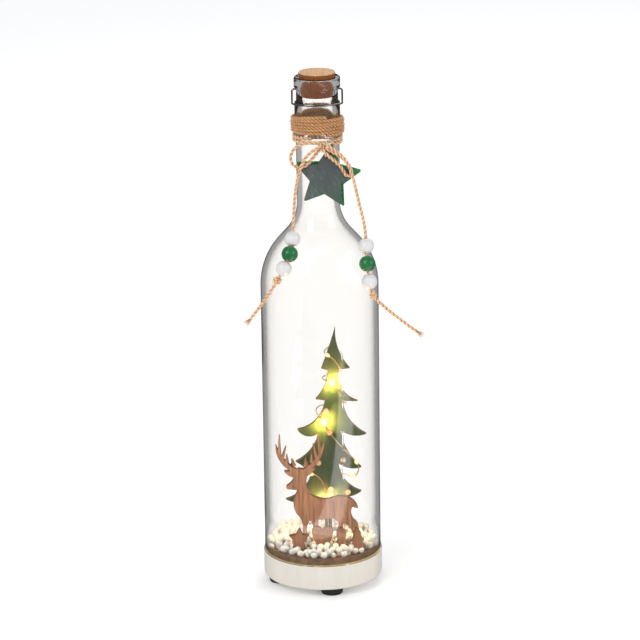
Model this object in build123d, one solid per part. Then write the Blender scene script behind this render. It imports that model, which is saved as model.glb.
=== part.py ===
from build123d import *
import itertools
import math
import os

# A bottle light: a clear glass bottle with an open bottom stands on a round wooden base. A fir tree
# and a reindeer cut from thin board stand inside it in foam snow, with a string of small lights round
# the tree. The batteries sit in a case under the base. A cork closes the neck, and a bow of jute rope
# with beads on its tails and two star boards hangs on it. Millimetres, with the front facing -Y.

OVERRUN = 2.0
SLIP_GAP = 0.15
CURVE_GAP = 0.3

# Rubber feet
FOOT_DIAMETER = 15.4
FOOT_HEIGHT = 5.0
FOOT_TAPER = 1.0
FOOT_EDGE_ROUND = 0.8
FOOT_COUNT = 4
FOOT_SETBACK = 9.7
FOOT_TURN_DEG = 11.0

# Wooden base block
BASE_DIAMETER = 76.0
BASE_THICKNESS = 16.3
BASE_LOWER_ROUND = 1.5
BASE_UPPER_ROUND = 0.5
FOOT_RING_RADIUS = BASE_DIAMETER / 2 - FOOT_SETBACK

# Battery case for two AAA cells, let into the base from below
CASE_TURN_DEG = -34.0
CASE_LENGTH = 64.0
CASE_WIDTH = 24.0
CASE_HEIGHT = 13.7
CASE_WALL = 1.2
CASE_CORNER_ROUND = 1.0
CASE_LEDGE_DEPTH = 0.7
CASE_LEDGE_HEIGHT = 0.8
COVER_THICKNESS = 1.6
COVER_GRIP_COUNT = 4
COVER_GRIP_WIDTH = 1.0
COVER_GRIP_DEPTH = 0.5
COVER_GRIP_LENGTH = 12.0
COVER_GRIP_PITCH = 2.4
SCREW_BOSS_DIAMETER = 4.8
SCREW_BOSS_SINK = 0.5
SCREW_DIAMETER = 1.8
SCREW_HOLE_GAP = 0.1
SCREW_HEAD_DIAMETER = 3.6
SCREW_HEAD_HEIGHT = 0.9
SCREW_LENGTH = 7.0
SCREW_SLOT_WIDTH = 0.6
SCREW_SLOT_DEPTH = 0.5

# AAA cells and their contacts
CELL_DIAMETER = 10.5
CELL_LENGTH = 44.5
CELL_NUB_DIAMETER = 3.8
CELL_NUB_HEIGHT = 0.9
CELL_SPACING = 0.3
CELL_END_GAP = 0.1
CONTACT_THICKNESS = 0.4
CONTACT_HEIGHT = 8.6
CONTACT_WIDTH = 8.2
SPRING_WIRE = 0.5
SPRING_HEIGHT = 3.0
SPRING_TURNS = 2.5
SPRING_WIDE_DIAMETER = 6.4
SPRING_NARROW_DIAMETER = 4.2

# Slide switch in the end of the case
SWITCH_DEPTH = 4.4
SWITCH_WIDTH = 9.0
SWITCH_HEIGHT = 3.8
SWITCH_POCKET_HEIGHT = 1.1
SLIDER_DEPTH = 1.8
SLIDER_WIDTH = 2.2
SLIDER_REACH = 1.2
SLIDER_FLANGE_DEPTH = 2.8
SLIDER_FLANGE_WIDTH = 3.4
SLIDER_FLANGE_HEIGHT = 0.8
SLIDER_TRAVEL = 2.5

# Floor disc inside the glass, which locates the bottle and holds the figures
FLOOR_THICKNESS = 4.0
FLOOR_GAP = 0.35
SLOT_DEPTH = 2.5
SLOT_GAP = 0.1
WIRE_HOLE_DIAMETER = 3.2
WIRE_CHANNEL_WIDTH = 1.6
WIRE_CHANNEL_HEIGHT = 1.2

# Bottle
GLUE_THICKNESS = 0.3
BASE_MARGIN = 0.75
GLASS_DIAMETER = BASE_DIAMETER - BASE_MARGIN * 2
GLASS_WALL = 2.8
BODY_HEIGHT = 176.1
SHOULDER_SLOPE_DEG = 42.0
SHOULDER_RADIUS = 45.0
NECK_BLEND_RADIUS = 27.5
NECK_BASE_DIAMETER = 26.8
NECK_TOP_DIAMETER = 27.4
NECK_BORE = 20.4
NECK_LENGTH = 42.0
NECK_FLARE_HEIGHT = 2.5
COLLAR_DIAMETER = 28.4
COLLAR_HEIGHT = 18.5
GROOVE_DIAMETER = 26.2
GROOVE_HEIGHT = 9.2
GROOVE_BEVEL = 0.6
LIP_DIAMETER = 28.9
LIP_HEIGHT = 7.0
LIP_ROUND = 1.0
FOOT_RIM_ROUND = 0.8

# Cork
CORK_TOP_DIAMETER = 23.1
CORK_BOTTOM_DIAMETER = 19.7
CORK_LENGTH = 15.3
CORK_PROUD = 3.0
CORK_EDGE_ROUND = 0.5
CORK_FIT_GAP = 0.05

# Wire lever of the old closure, hung in two dimples under the lip
LEVER_WIRE = 1.2
LEVER_HALF_WIDTH = 15.6
LEVER_DROP = 8.7
LEVER_BEND_RADIUS = 1.3
LEVER_RISE_DEG = 5.9
LEVER_LEAD = 0.3
LEVER_PIVOT_DROP = 7.9
LEVER_END_GAP = 0.1
DIMPLE_DEPTH = 0.8
DIMPLE_GAP = 0.05

# Jute wrap under the lip
WRAP_ROPE = 1.48
WRAP_PITCH = 1.92
WRAP_TURNS = 6
WRAP_RISE = 0.1

# Jute bow: a rope twice round the neck, a knot, two loops and two tails with beads. Its heights and
# those of the stars are taken from the start of the bottle's collar.
ROPE_DIAMETER = 2.0
NECK_ROPE_DIAMETER = 1.9
NECK_ROPE_PITCH = 2.4
NECK_ROPE_ROOM = 3.8
NECK_ROPE_HEIGHT = NECK_LENGTH - NECK_ROPE_ROOM
NECK_ROPE_START_DEG = -56.0
NECK_ROPE_TURN_DEG = 671.6
NECK_ROPE_SEGMENTS = 8
NECK_ROPE_LEAD = 6.7
KNOT_DIAMETER = 6.0
KNOT_PLACE = (2.8, -18.2, -5.1)
CORD_ARC_SHARE = 0.45
BEAD_DIAMETER = 9.8
GREEN_BEAD_DIAMETER = 10.2
TAIL_BEADS = (BEAD_DIAMETER, GREEN_BEAD_DIAMETER, BEAD_DIAMETER)
BEAD_LENGTH = 8.9
BEAD_BORE = 3.4
LEFT_KNOT_DIAMETER = 5.6
RIGHT_KNOT_DIAMETER = 5.0
LOOP_LEFT_ROUTE = (
    (0.8, -18.2, -3.7), (-2.8, -18.8, -3.0), (-8.6, -19.0, -3.3), (-13.8, -18.6, -5.6),
    (-17.0, -18.8, -10.3), (-16.7, -20.0, -15.3), (-13.2, -20.7, -18.5), (-8.6, -20.8, -17.8),
    (-4.6, -20.7, -14.2), (-1.4, -20.0, -10.3), (1.3, -18.3, -7.3),
)
LOOP_RIGHT_ROUTE = (
    (2.6, -20.3, -6.8), (5.2, -22.3, -9.4), (8.6, -22.2, -12.4), (11.9, -21.4, -15.3),
    (15.2, -20.8, -19.3), (17.0, -20.8, -23.5), (20.0, -20.8, -24.2), (21.0, -20.8, -21.1),
    (19.2, -20.8, -16.7), (15.0, -21.0, -12.1), (9.8, -21.2, -8.8), (4.5, -20.3, -6.3),
)
TAIL_LEFT_UPPER_ROUTE = (
    (1.4, -20.2, -5.5), (-3.4, -22.5, -7.3), (-8.3, -23.2, -11.9), (-11.2, -23.2, -18.9),
    (-13.4, -22.2, -27.1), (-14.5, -20.8, -36.1), (-15.4, -20.7, -45.9), (-16.0, -21.4, -58.6),
)
TAIL_LEFT_LOWER_ROUTE = (
    (-16.9, -26.3, -67.2), (-19.5, -31.6, -75.3), (-24.5, -32.3, -84.1), (-27.8, -31.2, -90.3),
    (-31.6, -29.4, -96.9), (-36.4, -27.4, -104.2), (-40.2, -26.2, -109.7), (-43.2, -25.4, -113.7),
)
TAIL_LEFT_ROUTE = TAIL_LEFT_UPPER_ROUTE + TAIL_LEFT_LOWER_ROUTE
TAIL_RIGHT_UPPER_ROUTE = (
    (4.2, -19.0, -3.1), (9.4, -23.0, -6.3), (14.6, -23.3, -9.9), (18.8, -23.3, -15.9),
    (21.4, -22.8, -23.7), (23.4, -21.2, -32.9), (25.4, -20.6, -42.7), (28.0, -20.0, -52.9),
    (29.3, -19.6, -63.3),
)
TAIL_RIGHT_LOWER_ROUTE = (
    (29.5, -21.9, -74.3), (30.4, -26.7, -84.6), (31.7, -29.4, -95.3), (34.8, -29.2, -101.1),
    (41.0, -27.8, -107.2), (47.2, -26.4, -113.0), (53.8, -25.2, -118.6), (60.4, -24.2, -123.9),
)
TAIL_RIGHT_ROUTE = TAIL_RIGHT_UPPER_ROUTE + TAIL_RIGHT_LOWER_ROUTE
# The first bead of a tail sits between its two routes, and a bead or a knot on each run after it
FIRST_BEAD_RUN_LEFT = len(TAIL_LEFT_UPPER_ROUTE) - 1
FIRST_BEAD_RUN_RIGHT = len(TAIL_RIGHT_UPPER_ROUTE) - 1

# Star boards that hang in front of the neck
STAR_INNER_SHARE = 0.5
STAR_TIP_ROUND = 0.8
STAR_HOLE_DIAMETER = 2.4
STAR_HOLE_PLACE = (5.3, -11.8)
BACK_STAR_RADIUS = 21.9
BACK_STAR_THICKNESS = 2.0
BACK_STAR_CENTRE = (5.9, -25.3)
BACK_STAR_TURN_DEG = 8.0
BACK_STAR_FACE = 15.0
FRONT_STAR_RADIUS = 20.2
FRONT_STAR_THICKNESS = 2.0
FRONT_STAR_CENTRE = (4.8, -25.5)
FRONT_STAR_TURN_DEG = 7.0
BACK_STAR_TIP_SHARES = (1.0, 1.0, 1.0, 1.0, 1.0)
FRONT_STAR_TIP_SHARES = (1.0, 0.9, 1.0, 1.0, 1.0)
STAR_POINTS = len(BACK_STAR_TIP_SHARES)
STAR_STACK_GAP = 0.3
TWINE_DIAMETER = 1.1

# Fir tree board inside the bottle
TREE_WIDTH = 52.4
TREE_HEIGHT = 143.4
TREE_BOARD = 3.0
TREE_OFFSET = 3.0
TREE_TRUNK_X = 3.75
TREE_TRUNK_WIDTH = 4.6
TREE_FOOT_WIDTH = 13.0
TREE_FOOT_HEIGHT = 4.0
TREE_TAB_WIDTH = 8.0
TREE_TIP_SHARES = (0.183, 1.0)
TREE_SIDE_SHARES = (
    (0.237, 0.875, 0.353, 0.808), (0.221, 0.802), (0.265, 0.706, 0.448, 0.654), (0.268, 0.654),
    (0.352, 0.564, 0.55, 0.5), (0.43, 0.491, 0.233, 0.518), (0.29, 0.44, 0.485, 0.343),
    (0.41, 0.337, 0.206, 0.361), (0.284, 0.281, 0.481, 0.229), (0.372, 0.207, 0.118, 0.214),
    (0.03, 0.202), (-0.1, 0.204), (-0.305, 0.178, -0.45, 0.195), (-0.22, 0.248, -0.137, 0.313),
    (-0.228, 0.349, -0.323, 0.372), (-0.126, 0.432, -0.036, 0.506), (-0.2, 0.494, -0.294, 0.524),
    (-0.029, 0.583, 0.044, 0.659), (-0.065, 0.665), (0.05, 0.73, 0.084, 0.799), (0.008, 0.808),
    (0.107, 0.91, 0.183, 1.0),
)
TREE_DISC_DIAMETER = 4.1
TREE_DISC_THICKNESS = 1.5
TREE_DISC_SHARES = (
    (0.058, 0.608), (0.101, 0.509), (0.26, 0.38), (-0.041, 0.368), (0.107, 0.244), (0.317, 0.228),
)

# Reindeer board
DEER_LENGTH = 52.0
DEER_HEIGHT = 75.1
DEER_BOARD = 3.0
DEER_OFFSET = -8.0
DEER_MIDDLE = -3.3
DEER_START_SHARES = (-0.22, 0.7)
DEER_BODY_SHARES = (
    (-0.135, 0.69), (-0.012, 0.706), (-0.06, 0.66, -0.116, 0.632), (-0.128, 0.56, -0.083, 0.467),
    (0.03, 0.428, 0.17, 0.431), (0.3, 0.446, 0.414, 0.421), (0.475, 0.375, 0.498, 0.334),
    (0.427, 0.348), (0.415, 0.28, 0.466, 0.215), (0.5, 0.165, 0.487, 0.1), (0.478, 0.04),
    (0.5, 0.04), (0.5, 0.0), (-0.21, 0.0), (-0.21, 0.04), (-0.182, 0.04), (-0.182, 0.182),
    (-0.2, 0.238, -0.249, 0.288), (-0.288, 0.375, -0.265, 0.461), (-0.237, 0.505),
    (-0.355, 0.515), (-0.374, 0.533, -0.359, 0.55), (-0.31, 0.58, -0.279, 0.62),
    (-0.35, 0.64, -0.395, 0.678), (-0.28, 0.676), (-0.22, 0.7),
)
DEER_GAP_SHARES = (
    ((-0.13, 0.04), (-0.122, 0.188), (-0.096, 0.228), (-0.073, 0.221), (-0.042, 0.148),
     (-0.022, 0.04), (-0.13, 0.04)),
    ((0.02, 0.04), (0.009, 0.148), (0.013, 0.235), (0.1, 0.238, 0.195, 0.245), (0.255, 0.212),
     (0.266, 0.188), (0.229, 0.108), (0.235, 0.04), (0.02, 0.04)),
    ((0.305, 0.04), (0.306, 0.108), (0.335, 0.195), (0.385, 0.175), (0.43, 0.11), (0.42, 0.04),
     (0.305, 0.04)),
)
DEER_ANTLER_SHARES = (
    ((-0.27, 0.66), (-0.43, 0.752, -0.494, 0.916), (-0.401, 0.787, -0.2, 0.68), (-0.27, 0.66)),
    ((-0.13, 0.66), (0.045, 0.787, 0.093, 0.938), (0.01, 0.815, -0.19, 0.68), (-0.13, 0.66)),
)
DEER_TINE_SHARES = (
    (-0.452, 0.82, -0.448, 0.996), (-0.415, 0.79, -0.372, 0.896), (-0.36, 0.755, -0.364, 0.82),
    (-0.275, 0.72, -0.303, 0.78), (0.042, 0.825, 0.014, 1.0), (-0.003, 0.79, -0.041, 0.912),
    (-0.065, 0.75, -0.062, 0.83), (-0.145, 0.71, -0.134, 0.785),
)
DEER_TINE_WIDTH = 2.3
DEER_TINE_TIP_WIDTH = 0.7
DEER_TAB_WIDTH = 6.0
DEER_TAB_SHARES = (-0.1, 0.39)

# Four small board cut-outs in front of the reindeer, their places and sizes as shares of the glass
CUTOUT_BOARD = 2.5
CUTOUT_OFFSET_SHARE = -0.2416
CUTOUT_OFFSET = GLASS_DIAMETER * CUTOUT_OFFSET_SHARE
CUTOUT_TOP = 15.7
CUTOUT_STEM_WIDTH = 4.0
CUTOUT_RADIUS_SHARE = 0.5
STAR_X_SHARE = -0.1987
STAR_WIDTH_SHARE = 0.1772
STAR_CUTOUT_X = GLASS_DIAMETER * STAR_X_SHARE
STAR_CUTOUT_WIDTH = GLASS_DIAMETER * STAR_WIDTH_SHARE
HEART_X_SHARE = -0.0027
HEART_WIDTH_SHARE = 0.1799
HEART_HEIGHT_SHARE = 0.1611
HEART_CUTOUT_X = GLASS_DIAMETER * HEART_X_SHARE
HEART_CUTOUT_WIDTH = GLASS_DIAMETER * HEART_WIDTH_SHARE
HEART_CUTOUT_HEIGHT = GLASS_DIAMETER * HEART_HEIGHT_SHARE
BELL_X_SHARE = 0.1557
BELL_WIDTH_SHARE = 0.1181
BELL_HEIGHT_SHARE = 0.1557
BELL_CUTOUT_X = GLASS_DIAMETER * BELL_X_SHARE
BELL_CUTOUT_WIDTH = GLASS_DIAMETER * BELL_WIDTH_SHARE
BELL_CUTOUT_HEIGHT = GLASS_DIAMETER * BELL_HEIGHT_SHARE
FIR_X_SHARE = 0.2859
FIR_WIDTH_SHARE = 0.1396
FIR_HEIGHT_SHARE = 0.1664
FIR_CUTOUT_X = GLASS_DIAMETER * FIR_X_SHARE
FIR_CUTOUT_WIDTH = GLASS_DIAMETER * FIR_WIDTH_SHARE
FIR_CUTOUT_HEIGHT = GLASS_DIAMETER * FIR_HEIGHT_SHARE

# Foam snow on the floor disc
SNOW_EDGE_HEIGHT = 4.6
SNOW_CROWN = 1.6
SNOW_GAP = 0.3

# String of lights round the tree: its wire in stretches with a light between each two, and its heights
# taken from the floor disc
LED_WIRE = 0.8
LED_LENGTH = 3.4
LED_DIAMETER = 2.4
LED_STRETCH_ROUTES = (
    ((9.6, 6.1, 132.3), (5.2, 6.2, 128.7), (2.4, 6.0, 126.5), (2.4, 0.0, 126.5)),
    (
        (6.6, -0.1, 123.9), (10.2, -0.1, 120.3), (13.8, 0.0, 113.1), (13.8, 6.0, 113.1),
        (8.4, 6.1, 111.7),
    ),
    ((1.2, 6.0, 109.3), (1.2, 0.0, 109.3), (6.4, -0.1, 107.1)),
    ((10.4, -0.1, 101.3), (16.4, 0.0, 91.9), (16.4, 6.0, 91.9), (8.4, 6.1, 90.9)),
    ((-0.4, 6.0, 89.9), (-3.2, 5.8, 88.1), (-3.2, 0.0, 86.9), (0.6, -0.3, 81.7)),
    ((5.2, -0.9, 73.3), (12.6, -0.3, 63.6), (20.2, -0.1, 56.1)),
    ((24.2, 0.0, 50.1), (22.4, -0.1, 43.9)),
    ((17.4, 0.0, 43.7), (13.2, 0.0, 46.3), (13.2, 6.0, 46.3), (3.4, 6.1, 49.3)),
    ((-9.6, 6.0, 45.1), (-9.6, 0.0, 45.1)),
    ((-4.4, -0.1, 45.5), (0.6, -0.1, 40.3), (2.4, -0.1, 32.1)),
    ((3.2, -0.2, 22.3), (3.6, -0.7, 12.1), (3.6, -0.9, 3.9)),
)
LED_ROUTE = tuple(point for stretch in LED_STRETCH_ROUTES for point in stretch)
LED_RUNS = [total - 1 for total in itertools.accumulate(len(stretch) for stretch in LED_STRETCH_ROUTES[:-1])]


def point_on_circle(radius, angle_deg, height):
    """A point at an angle round the bottle's axis."""
    angle = math.radians(angle_deg)
    return Vector(radius * math.cos(angle), radius * math.sin(angle), height)


def disc(radius, bottom, top):
    """A plain cylinder on the bottle's axis between two levels."""
    return Pos(0, 0, bottom) * Cylinder(radius, top - bottom, align=(Align.CENTER, Align.CENTER, Align.MIN))


def group(solids, place=Location()):
    """Separate solids that share one name."""
    return Compound(children=[place * solid for solid in solids])


def block(left, right, front, back, bottom, top):
    """A box between six planes."""
    box = Box(right - left, back - front, top - bottom)
    return Pos((left + right) / 2, (front + back) / 2, (bottom + top) / 2) * box


def outline(rows, start, width, height, shift=0.0, rise=0.0):
    """A closed face from shares of a width and a height. A row of two values is a straight line to
    that point, and a row of four is an arc through its first point to its second."""
    edges = []
    here = (shift + start[0] * width, rise + start[1] * height)
    for row in rows:
        there = (shift + row[-2] * width, rise + row[-1] * height)
        if len(row) == len(start):
            edges.append(Line(here, there))
        else:
            middle = (shift + row[0] * width, rise + row[1] * height)
            edges.append(ThreePointArc(here, middle, there))
        here = there
    return make_face(Wire(edges))


def board(face, thickness, offset):
    """An upright board cut to an outline, its middle plane at a distance behind the bottle's axis."""
    return Pos(0, offset, 0) * extrude(Plane.XZ * face, amount=thickness / 2, both=True)


def cord_radii(route):
    """For each corner of a cord's route, the largest arc that its two runs allow."""
    radii = []
    for before, corner, after in zip(route, route[1:], route[2:]):
        turn = (corner - before).get_angle(after - corner)
        shorter = min((corner - before).length, (after - corner).length)
        radii.append(CORD_ARC_SHARE * shorter / math.tan(math.radians(turn / 2)))
    return radii


def tube(section_diameter, path):
    """A round tube swept along a path."""
    section = Plane(origin=path @ 0, z_dir=path % 0) * Circle(section_diameter / 2)
    return sweep(section, path=path)


def raised(points, level):
    """Points whose heights are taken from a level."""
    return [Vector(x, y, z + level) for x, y, z in points]


def cord(name, route, diameter, tight_corners=0, tight_radius=0.0):
    """A cord as a tube of straight runs and tangent arcs, with its arcs and volume printed. The last
    corners can be tight ones, where it turns inside holes."""
    radii = cord_radii(route)
    for corner in range(len(radii) - tight_corners, len(radii)):
        radii[corner] = min(radii[corner], tight_radius)
    path = FilletPolyline(*route, radius=radii)
    solid = tube(diameter, path)
    expected = math.pi * diameter ** 2 / 4 * path.length
    smallest = ", ".join(f"{radius:.1f}" for radius in radii)
    print(f"{name}: length {path.length:.1f}, volume {solid.volume / expected:.4f} of ideal, radii {smallest}")
    return solid


def biarc(start, start_way, end, end_way):
    """Two tangent arcs between two points with given directions."""
    way = start_way + end_way
    span = end - start
    bend = 2 * (1 - start_way.dot(end_way))
    along = span.dot(way)
    reach = (math.sqrt(along ** 2 + bend * span.dot(span)) - along) / bend
    middle = (start + end + (start_way - end_way) * reach) / 2
    middle_way = ((end - end_way * reach) - (start + start_way * reach)).normalized()
    first = Edge.make_tangent_arc(start, start_way, middle)
    return [first, Edge.make_tangent_arc(middle, middle_way, end)]


def winding(start_radius, end_radius, bottom, rise, start_deg, turn_deg, segments, lead):
    """The path of a wound wire or rope: biarcs on a helix, with a straight lead at each end."""
    def place(share):
        radius = start_radius + (end_radius - start_radius) * share
        return point_on_circle(radius, start_deg + turn_deg * share, bottom + rise * share)

    def heading(share):
        radius = start_radius + (end_radius - start_radius) * share
        angle = math.radians(start_deg + turn_deg * share)
        spin = math.radians(turn_deg)
        widen = end_radius - start_radius
        east = widen * math.cos(angle) - radius * spin * math.sin(angle)
        north = widen * math.sin(angle) + radius * spin * math.cos(angle)
        return Vector(east, north, rise).normalized()

    shares = [index / segments for index in range(segments + 1)]
    first, last = place(shares[0]), place(shares[-1])
    edges = [Edge.make_line(first - heading(shares[0]) * lead, first)]
    for share, following in zip(shares, shares[1:]):
        edges += biarc(place(share), heading(share), place(following), heading(following))
    edges.append(Edge.make_line(last, last + heading(shares[-1]) * lead))
    return Wire(edges)


def print_least_gap(name, path, turns, diameter):
    """Measures a winding's least gap to itself on points along its path."""
    samples_a_turn = 48
    count = int(turns * samples_a_turn)
    points = [path @ (index / count) for index in range(count + 1)]
    least = min(
        (points[later] - points[early]).length
        for early in range(count + 1)
        for later in range(early + samples_a_turn // 2, count + 1)
    )
    print(f"{name}: least gap to itself {least - diameter:.2f}")


# Levels, from the floor up
base_top = FOOT_HEIGHT + BASE_THICKNESS
floor_top = base_top + FLOOR_THICKNESS
glass_bottom = base_top + GLUE_THICKNESS
glass_radius = GLASS_DIAMETER / 2
inner_radius = glass_radius - GLASS_WALL
shoulder_start = glass_bottom + BODY_HEIGHT
slope = math.radians(SHOULDER_SLOPE_DEG)


def shoulder_run(body, neck, convex, concave):
    """Length of the straight part between the shoulder's two arcs."""
    return (body - neck - (convex + concave) * (1 - math.cos(slope))) / math.sin(slope)


outer_run = shoulder_run(glass_radius, NECK_BASE_DIAMETER / 2, SHOULDER_RADIUS, NECK_BLEND_RADIUS)
shoulder_rise = (SHOULDER_RADIUS + NECK_BLEND_RADIUS) * math.sin(slope) + outer_run * math.cos(slope)
neck_start = shoulder_start + shoulder_rise
flare_start = neck_start + NECK_LENGTH
collar_start = flare_start + NECK_FLARE_HEIGHT
collar_top = collar_start + COLLAR_HEIGHT
groove_top = collar_top + GROOVE_HEIGHT
lip_top = groove_top + LIP_HEIGHT
pivot_height = lip_top - LEVER_PIVOT_DROP
cork_bottom = lip_top + CORK_PROUD - CORK_LENGTH
loop_left_route = raised(LOOP_LEFT_ROUTE, collar_start)
loop_right_route = raised(LOOP_RIGHT_ROUTE, collar_start)
tail_left_route = raised(TAIL_LEFT_ROUTE, collar_start)
tail_right_route = raised(TAIL_RIGHT_ROUTE, collar_start)
(knot_place,) = raised([KNOT_PLACE], collar_start)
led_route = raised(LED_ROUTE, floor_top)
case_place = Rot(0, 0, CASE_TURN_DEG)

# The battery case's own lengthwise and crosswise lines, from its middle
case_half = CASE_LENGTH / 2
case_inside = case_half - CASE_WALL
side_inside = CASE_WIDTH / 2 - CASE_WALL
case_top = FOOT_HEIGHT + CASE_HEIGHT
roof_inside = case_top - CASE_WALL
cover_top = FOOT_HEIGHT + COVER_THICKNESS
cell_height = (cover_top + roof_inside) / 2
cell_side = (CELL_DIAMETER + CELL_SPACING) / 2
cell_bay = CELL_LENGTH + SPRING_HEIGHT + CELL_END_GAP * 2 + CONTACT_THICKNESS * 2
divider_start = -case_inside + cell_bay
divider_end = divider_start + CASE_WALL
boss_x = divider_end + SCREW_BOSS_DIAMETER / 2 - SCREW_BOSS_SINK
cover_end = boss_x + SCREW_BOSS_DIAMETER / 2
switch_x = (cover_end + SLIP_GAP + case_inside) / 2
wire_drop = case_place * Pos(switch_x, 0, 0)


def rubber_feet():
    """Four stuck-on bumpers, slightly narrower at the floor."""
    top_radius = FOOT_DIAMETER / 2
    foot = Cone(top_radius - FOOT_TAPER, top_radius, FOOT_HEIGHT, align=(Align.CENTER, Align.CENTER, Align.MIN))
    foot = fillet(foot.edges().filter_by(GeomType.CIRCLE).sort_by(Axis.Z)[0], FOOT_EDGE_ROUND)
    places = PolarLocations(FOOT_RING_RADIUS, FOOT_COUNT, start_angle=FOOT_TURN_DEG)
    return group([place * foot for place in places])


def base_block():
    """The turned wooden base with the recess for the battery case and a hole for the wire."""
    base = disc(BASE_DIAMETER / 2, FOOT_HEIGHT, base_top)
    base = fillet(base.edges().filter_by(GeomType.CIRCLE).sort_by(Axis.Z)[0], BASE_LOWER_ROUND)
    base = fillet(base.edges().filter_by(GeomType.CIRCLE).sort_by(Axis.Z)[-1], BASE_UPPER_ROUND)
    long_side = case_half + SLIP_GAP
    short_side = CASE_WIDTH / 2 + SLIP_GAP
    recess = block(-long_side, long_side, -short_side, short_side, FOOT_HEIGHT - OVERRUN, case_top + SLIP_GAP)
    hole = wire_drop * disc(WIRE_HOLE_DIAMETER / 2, FOOT_HEIGHT, base_top + OVERRUN)
    return base - case_place * recess - hole


def battery_case():
    """The moulded case: two cell bays, a divider, the cover's screw boss and the switch bay."""
    half_width = CASE_WIDTH / 2
    case = block(-case_half, case_half, -half_width, half_width, FOOT_HEIGHT, case_top)
    case = fillet(case.edges().filter_by(Axis.Z), CASE_CORNER_ROUND)
    case -= block(-case_inside, case_inside, -side_inside, side_inside, FOOT_HEIGHT - OVERRUN, roof_inside)
    case += block(divider_start, divider_end, -side_inside, side_inside, cover_top, roof_inside)
    ledge_end = CASE_LEDGE_DEPTH - case_inside
    case += block(-case_inside, ledge_end, -side_inside, side_inside, cover_top, cover_top + CASE_LEDGE_HEIGHT)
    case += block(cover_end + SLIP_GAP, case_inside, -side_inside, side_inside, FOOT_HEIGHT, cover_top)
    case += Pos(boss_x, 0, 0) * disc(SCREW_BOSS_DIAMETER / 2, cover_top, roof_inside)
    pilot_radius = SCREW_DIAMETER / 2 + SCREW_HOLE_GAP
    case -= Pos(boss_x, 0, 0) * disc(pilot_radius, cover_top - OVERRUN, cover_top + SCREW_LENGTH)
    slot_depth = SLIDER_DEPTH / 2 + SLIP_GAP
    slot_width = (SLIDER_WIDTH + SLIDER_TRAVEL) / 2 + SLIP_GAP
    slot_left, slot_right = switch_x - slot_depth, switch_x + slot_depth
    case -= block(slot_left, slot_right, -slot_width, slot_width, FOOT_HEIGHT - OVERRUN, cover_top + OVERRUN)
    case -= Pos(switch_x, 0, 0) * disc(WIRE_CHANNEL_WIDTH / 2, roof_inside - OVERRUN, case_top + OVERRUN)
    return case_place * case


def battery_cover():
    """The flush cover over the cells, with a countersunk screw hole and finger grooves."""
    side = side_inside - SLIP_GAP
    cover = block(SLIP_GAP - case_inside, cover_end, -side, side, FOOT_HEIGHT, cover_top)
    cover -= Pos(boss_x, 0, 0) * disc(SCREW_DIAMETER / 2 + SLIP_GAP, FOOT_HEIGHT - OVERRUN, cover_top + OVERRUN)
    head_radius = SCREW_HEAD_DIAMETER / 2 + SLIP_GAP
    cover -= Pos(boss_x, 0, 0) * disc(head_radius, FOOT_HEIGHT - OVERRUN, FOOT_HEIGHT + SCREW_HEAD_HEIGHT)
    groove_half = COVER_GRIP_WIDTH / 2
    reach = COVER_GRIP_LENGTH / 2
    for index in range(COVER_GRIP_COUNT):
        middle = (index - COVER_GRIP_COUNT / 2) * COVER_GRIP_PITCH
        left, right = middle - groove_half, middle + groove_half
        cover -= block(left, right, -reach, reach, FOOT_HEIGHT - OVERRUN, FOOT_HEIGHT + COVER_GRIP_DEPTH)
    return case_place * cover


def cover_screw():
    """The small slotted screw that holds the cover."""
    screw = disc(SCREW_HEAD_DIAMETER / 2, FOOT_HEIGHT, FOOT_HEIGHT + SCREW_HEAD_HEIGHT)
    screw += disc(SCREW_DIAMETER / 2, FOOT_HEIGHT, FOOT_HEIGHT + SCREW_LENGTH)
    half_slot = SCREW_SLOT_WIDTH / 2
    reach = SCREW_HEAD_DIAMETER
    screw -= block(-reach, reach, -half_slot, half_slot, FOOT_HEIGHT - OVERRUN, FOOT_HEIGHT + SCREW_SLOT_DEPTH)
    return case_place * Pos(boss_x, 0, 0) * screw


def battery_cells():
    """Two cells side by side, the second one turned end for end."""
    radius = CELL_DIAMETER / 2
    can = disc(radius, 0, CELL_LENGTH - CELL_NUB_HEIGHT)
    can = fillet(can.edges().filter_by(GeomType.CIRCLE), CELL_NUB_HEIGHT / 2)
    cell = can + disc(CELL_NUB_DIAMETER / 2, 0, CELL_LENGTH)
    foot_end = -case_inside + CONTACT_THICKNESS + CELL_END_GAP + SPRING_HEIGHT
    nub_end = divider_start - CONTACT_THICKNESS - CELL_END_GAP - SPRING_HEIGHT
    first = Plane(origin=(foot_end, cell_side, cell_height), z_dir=(1, 0, 0)) * cell
    second = Plane(origin=(nub_end, -cell_side, cell_height), z_dir=(-1, 0, 0)) * cell
    return group([first, second], case_place)


def contact_plates():
    """The bridge plate at the far end and the two terminals at the divider."""
    bottom = cell_height - CONTACT_HEIGHT / 2
    top = cell_height + CONTACT_HEIGHT / 2
    reach = cell_side + CONTACT_WIDTH / 2
    near = cell_side - CONTACT_WIDTH / 2
    far_face = CONTACT_THICKNESS - case_inside
    bridge = block(-case_inside, far_face, -reach, reach, bottom, top)
    terminal_face = divider_start - CONTACT_THICKNESS
    left = block(terminal_face, divider_start, near, reach, bottom, top)
    right = block(terminal_face, divider_start, -reach, -near, bottom, top)
    return group([bridge, left, right], case_place)


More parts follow.
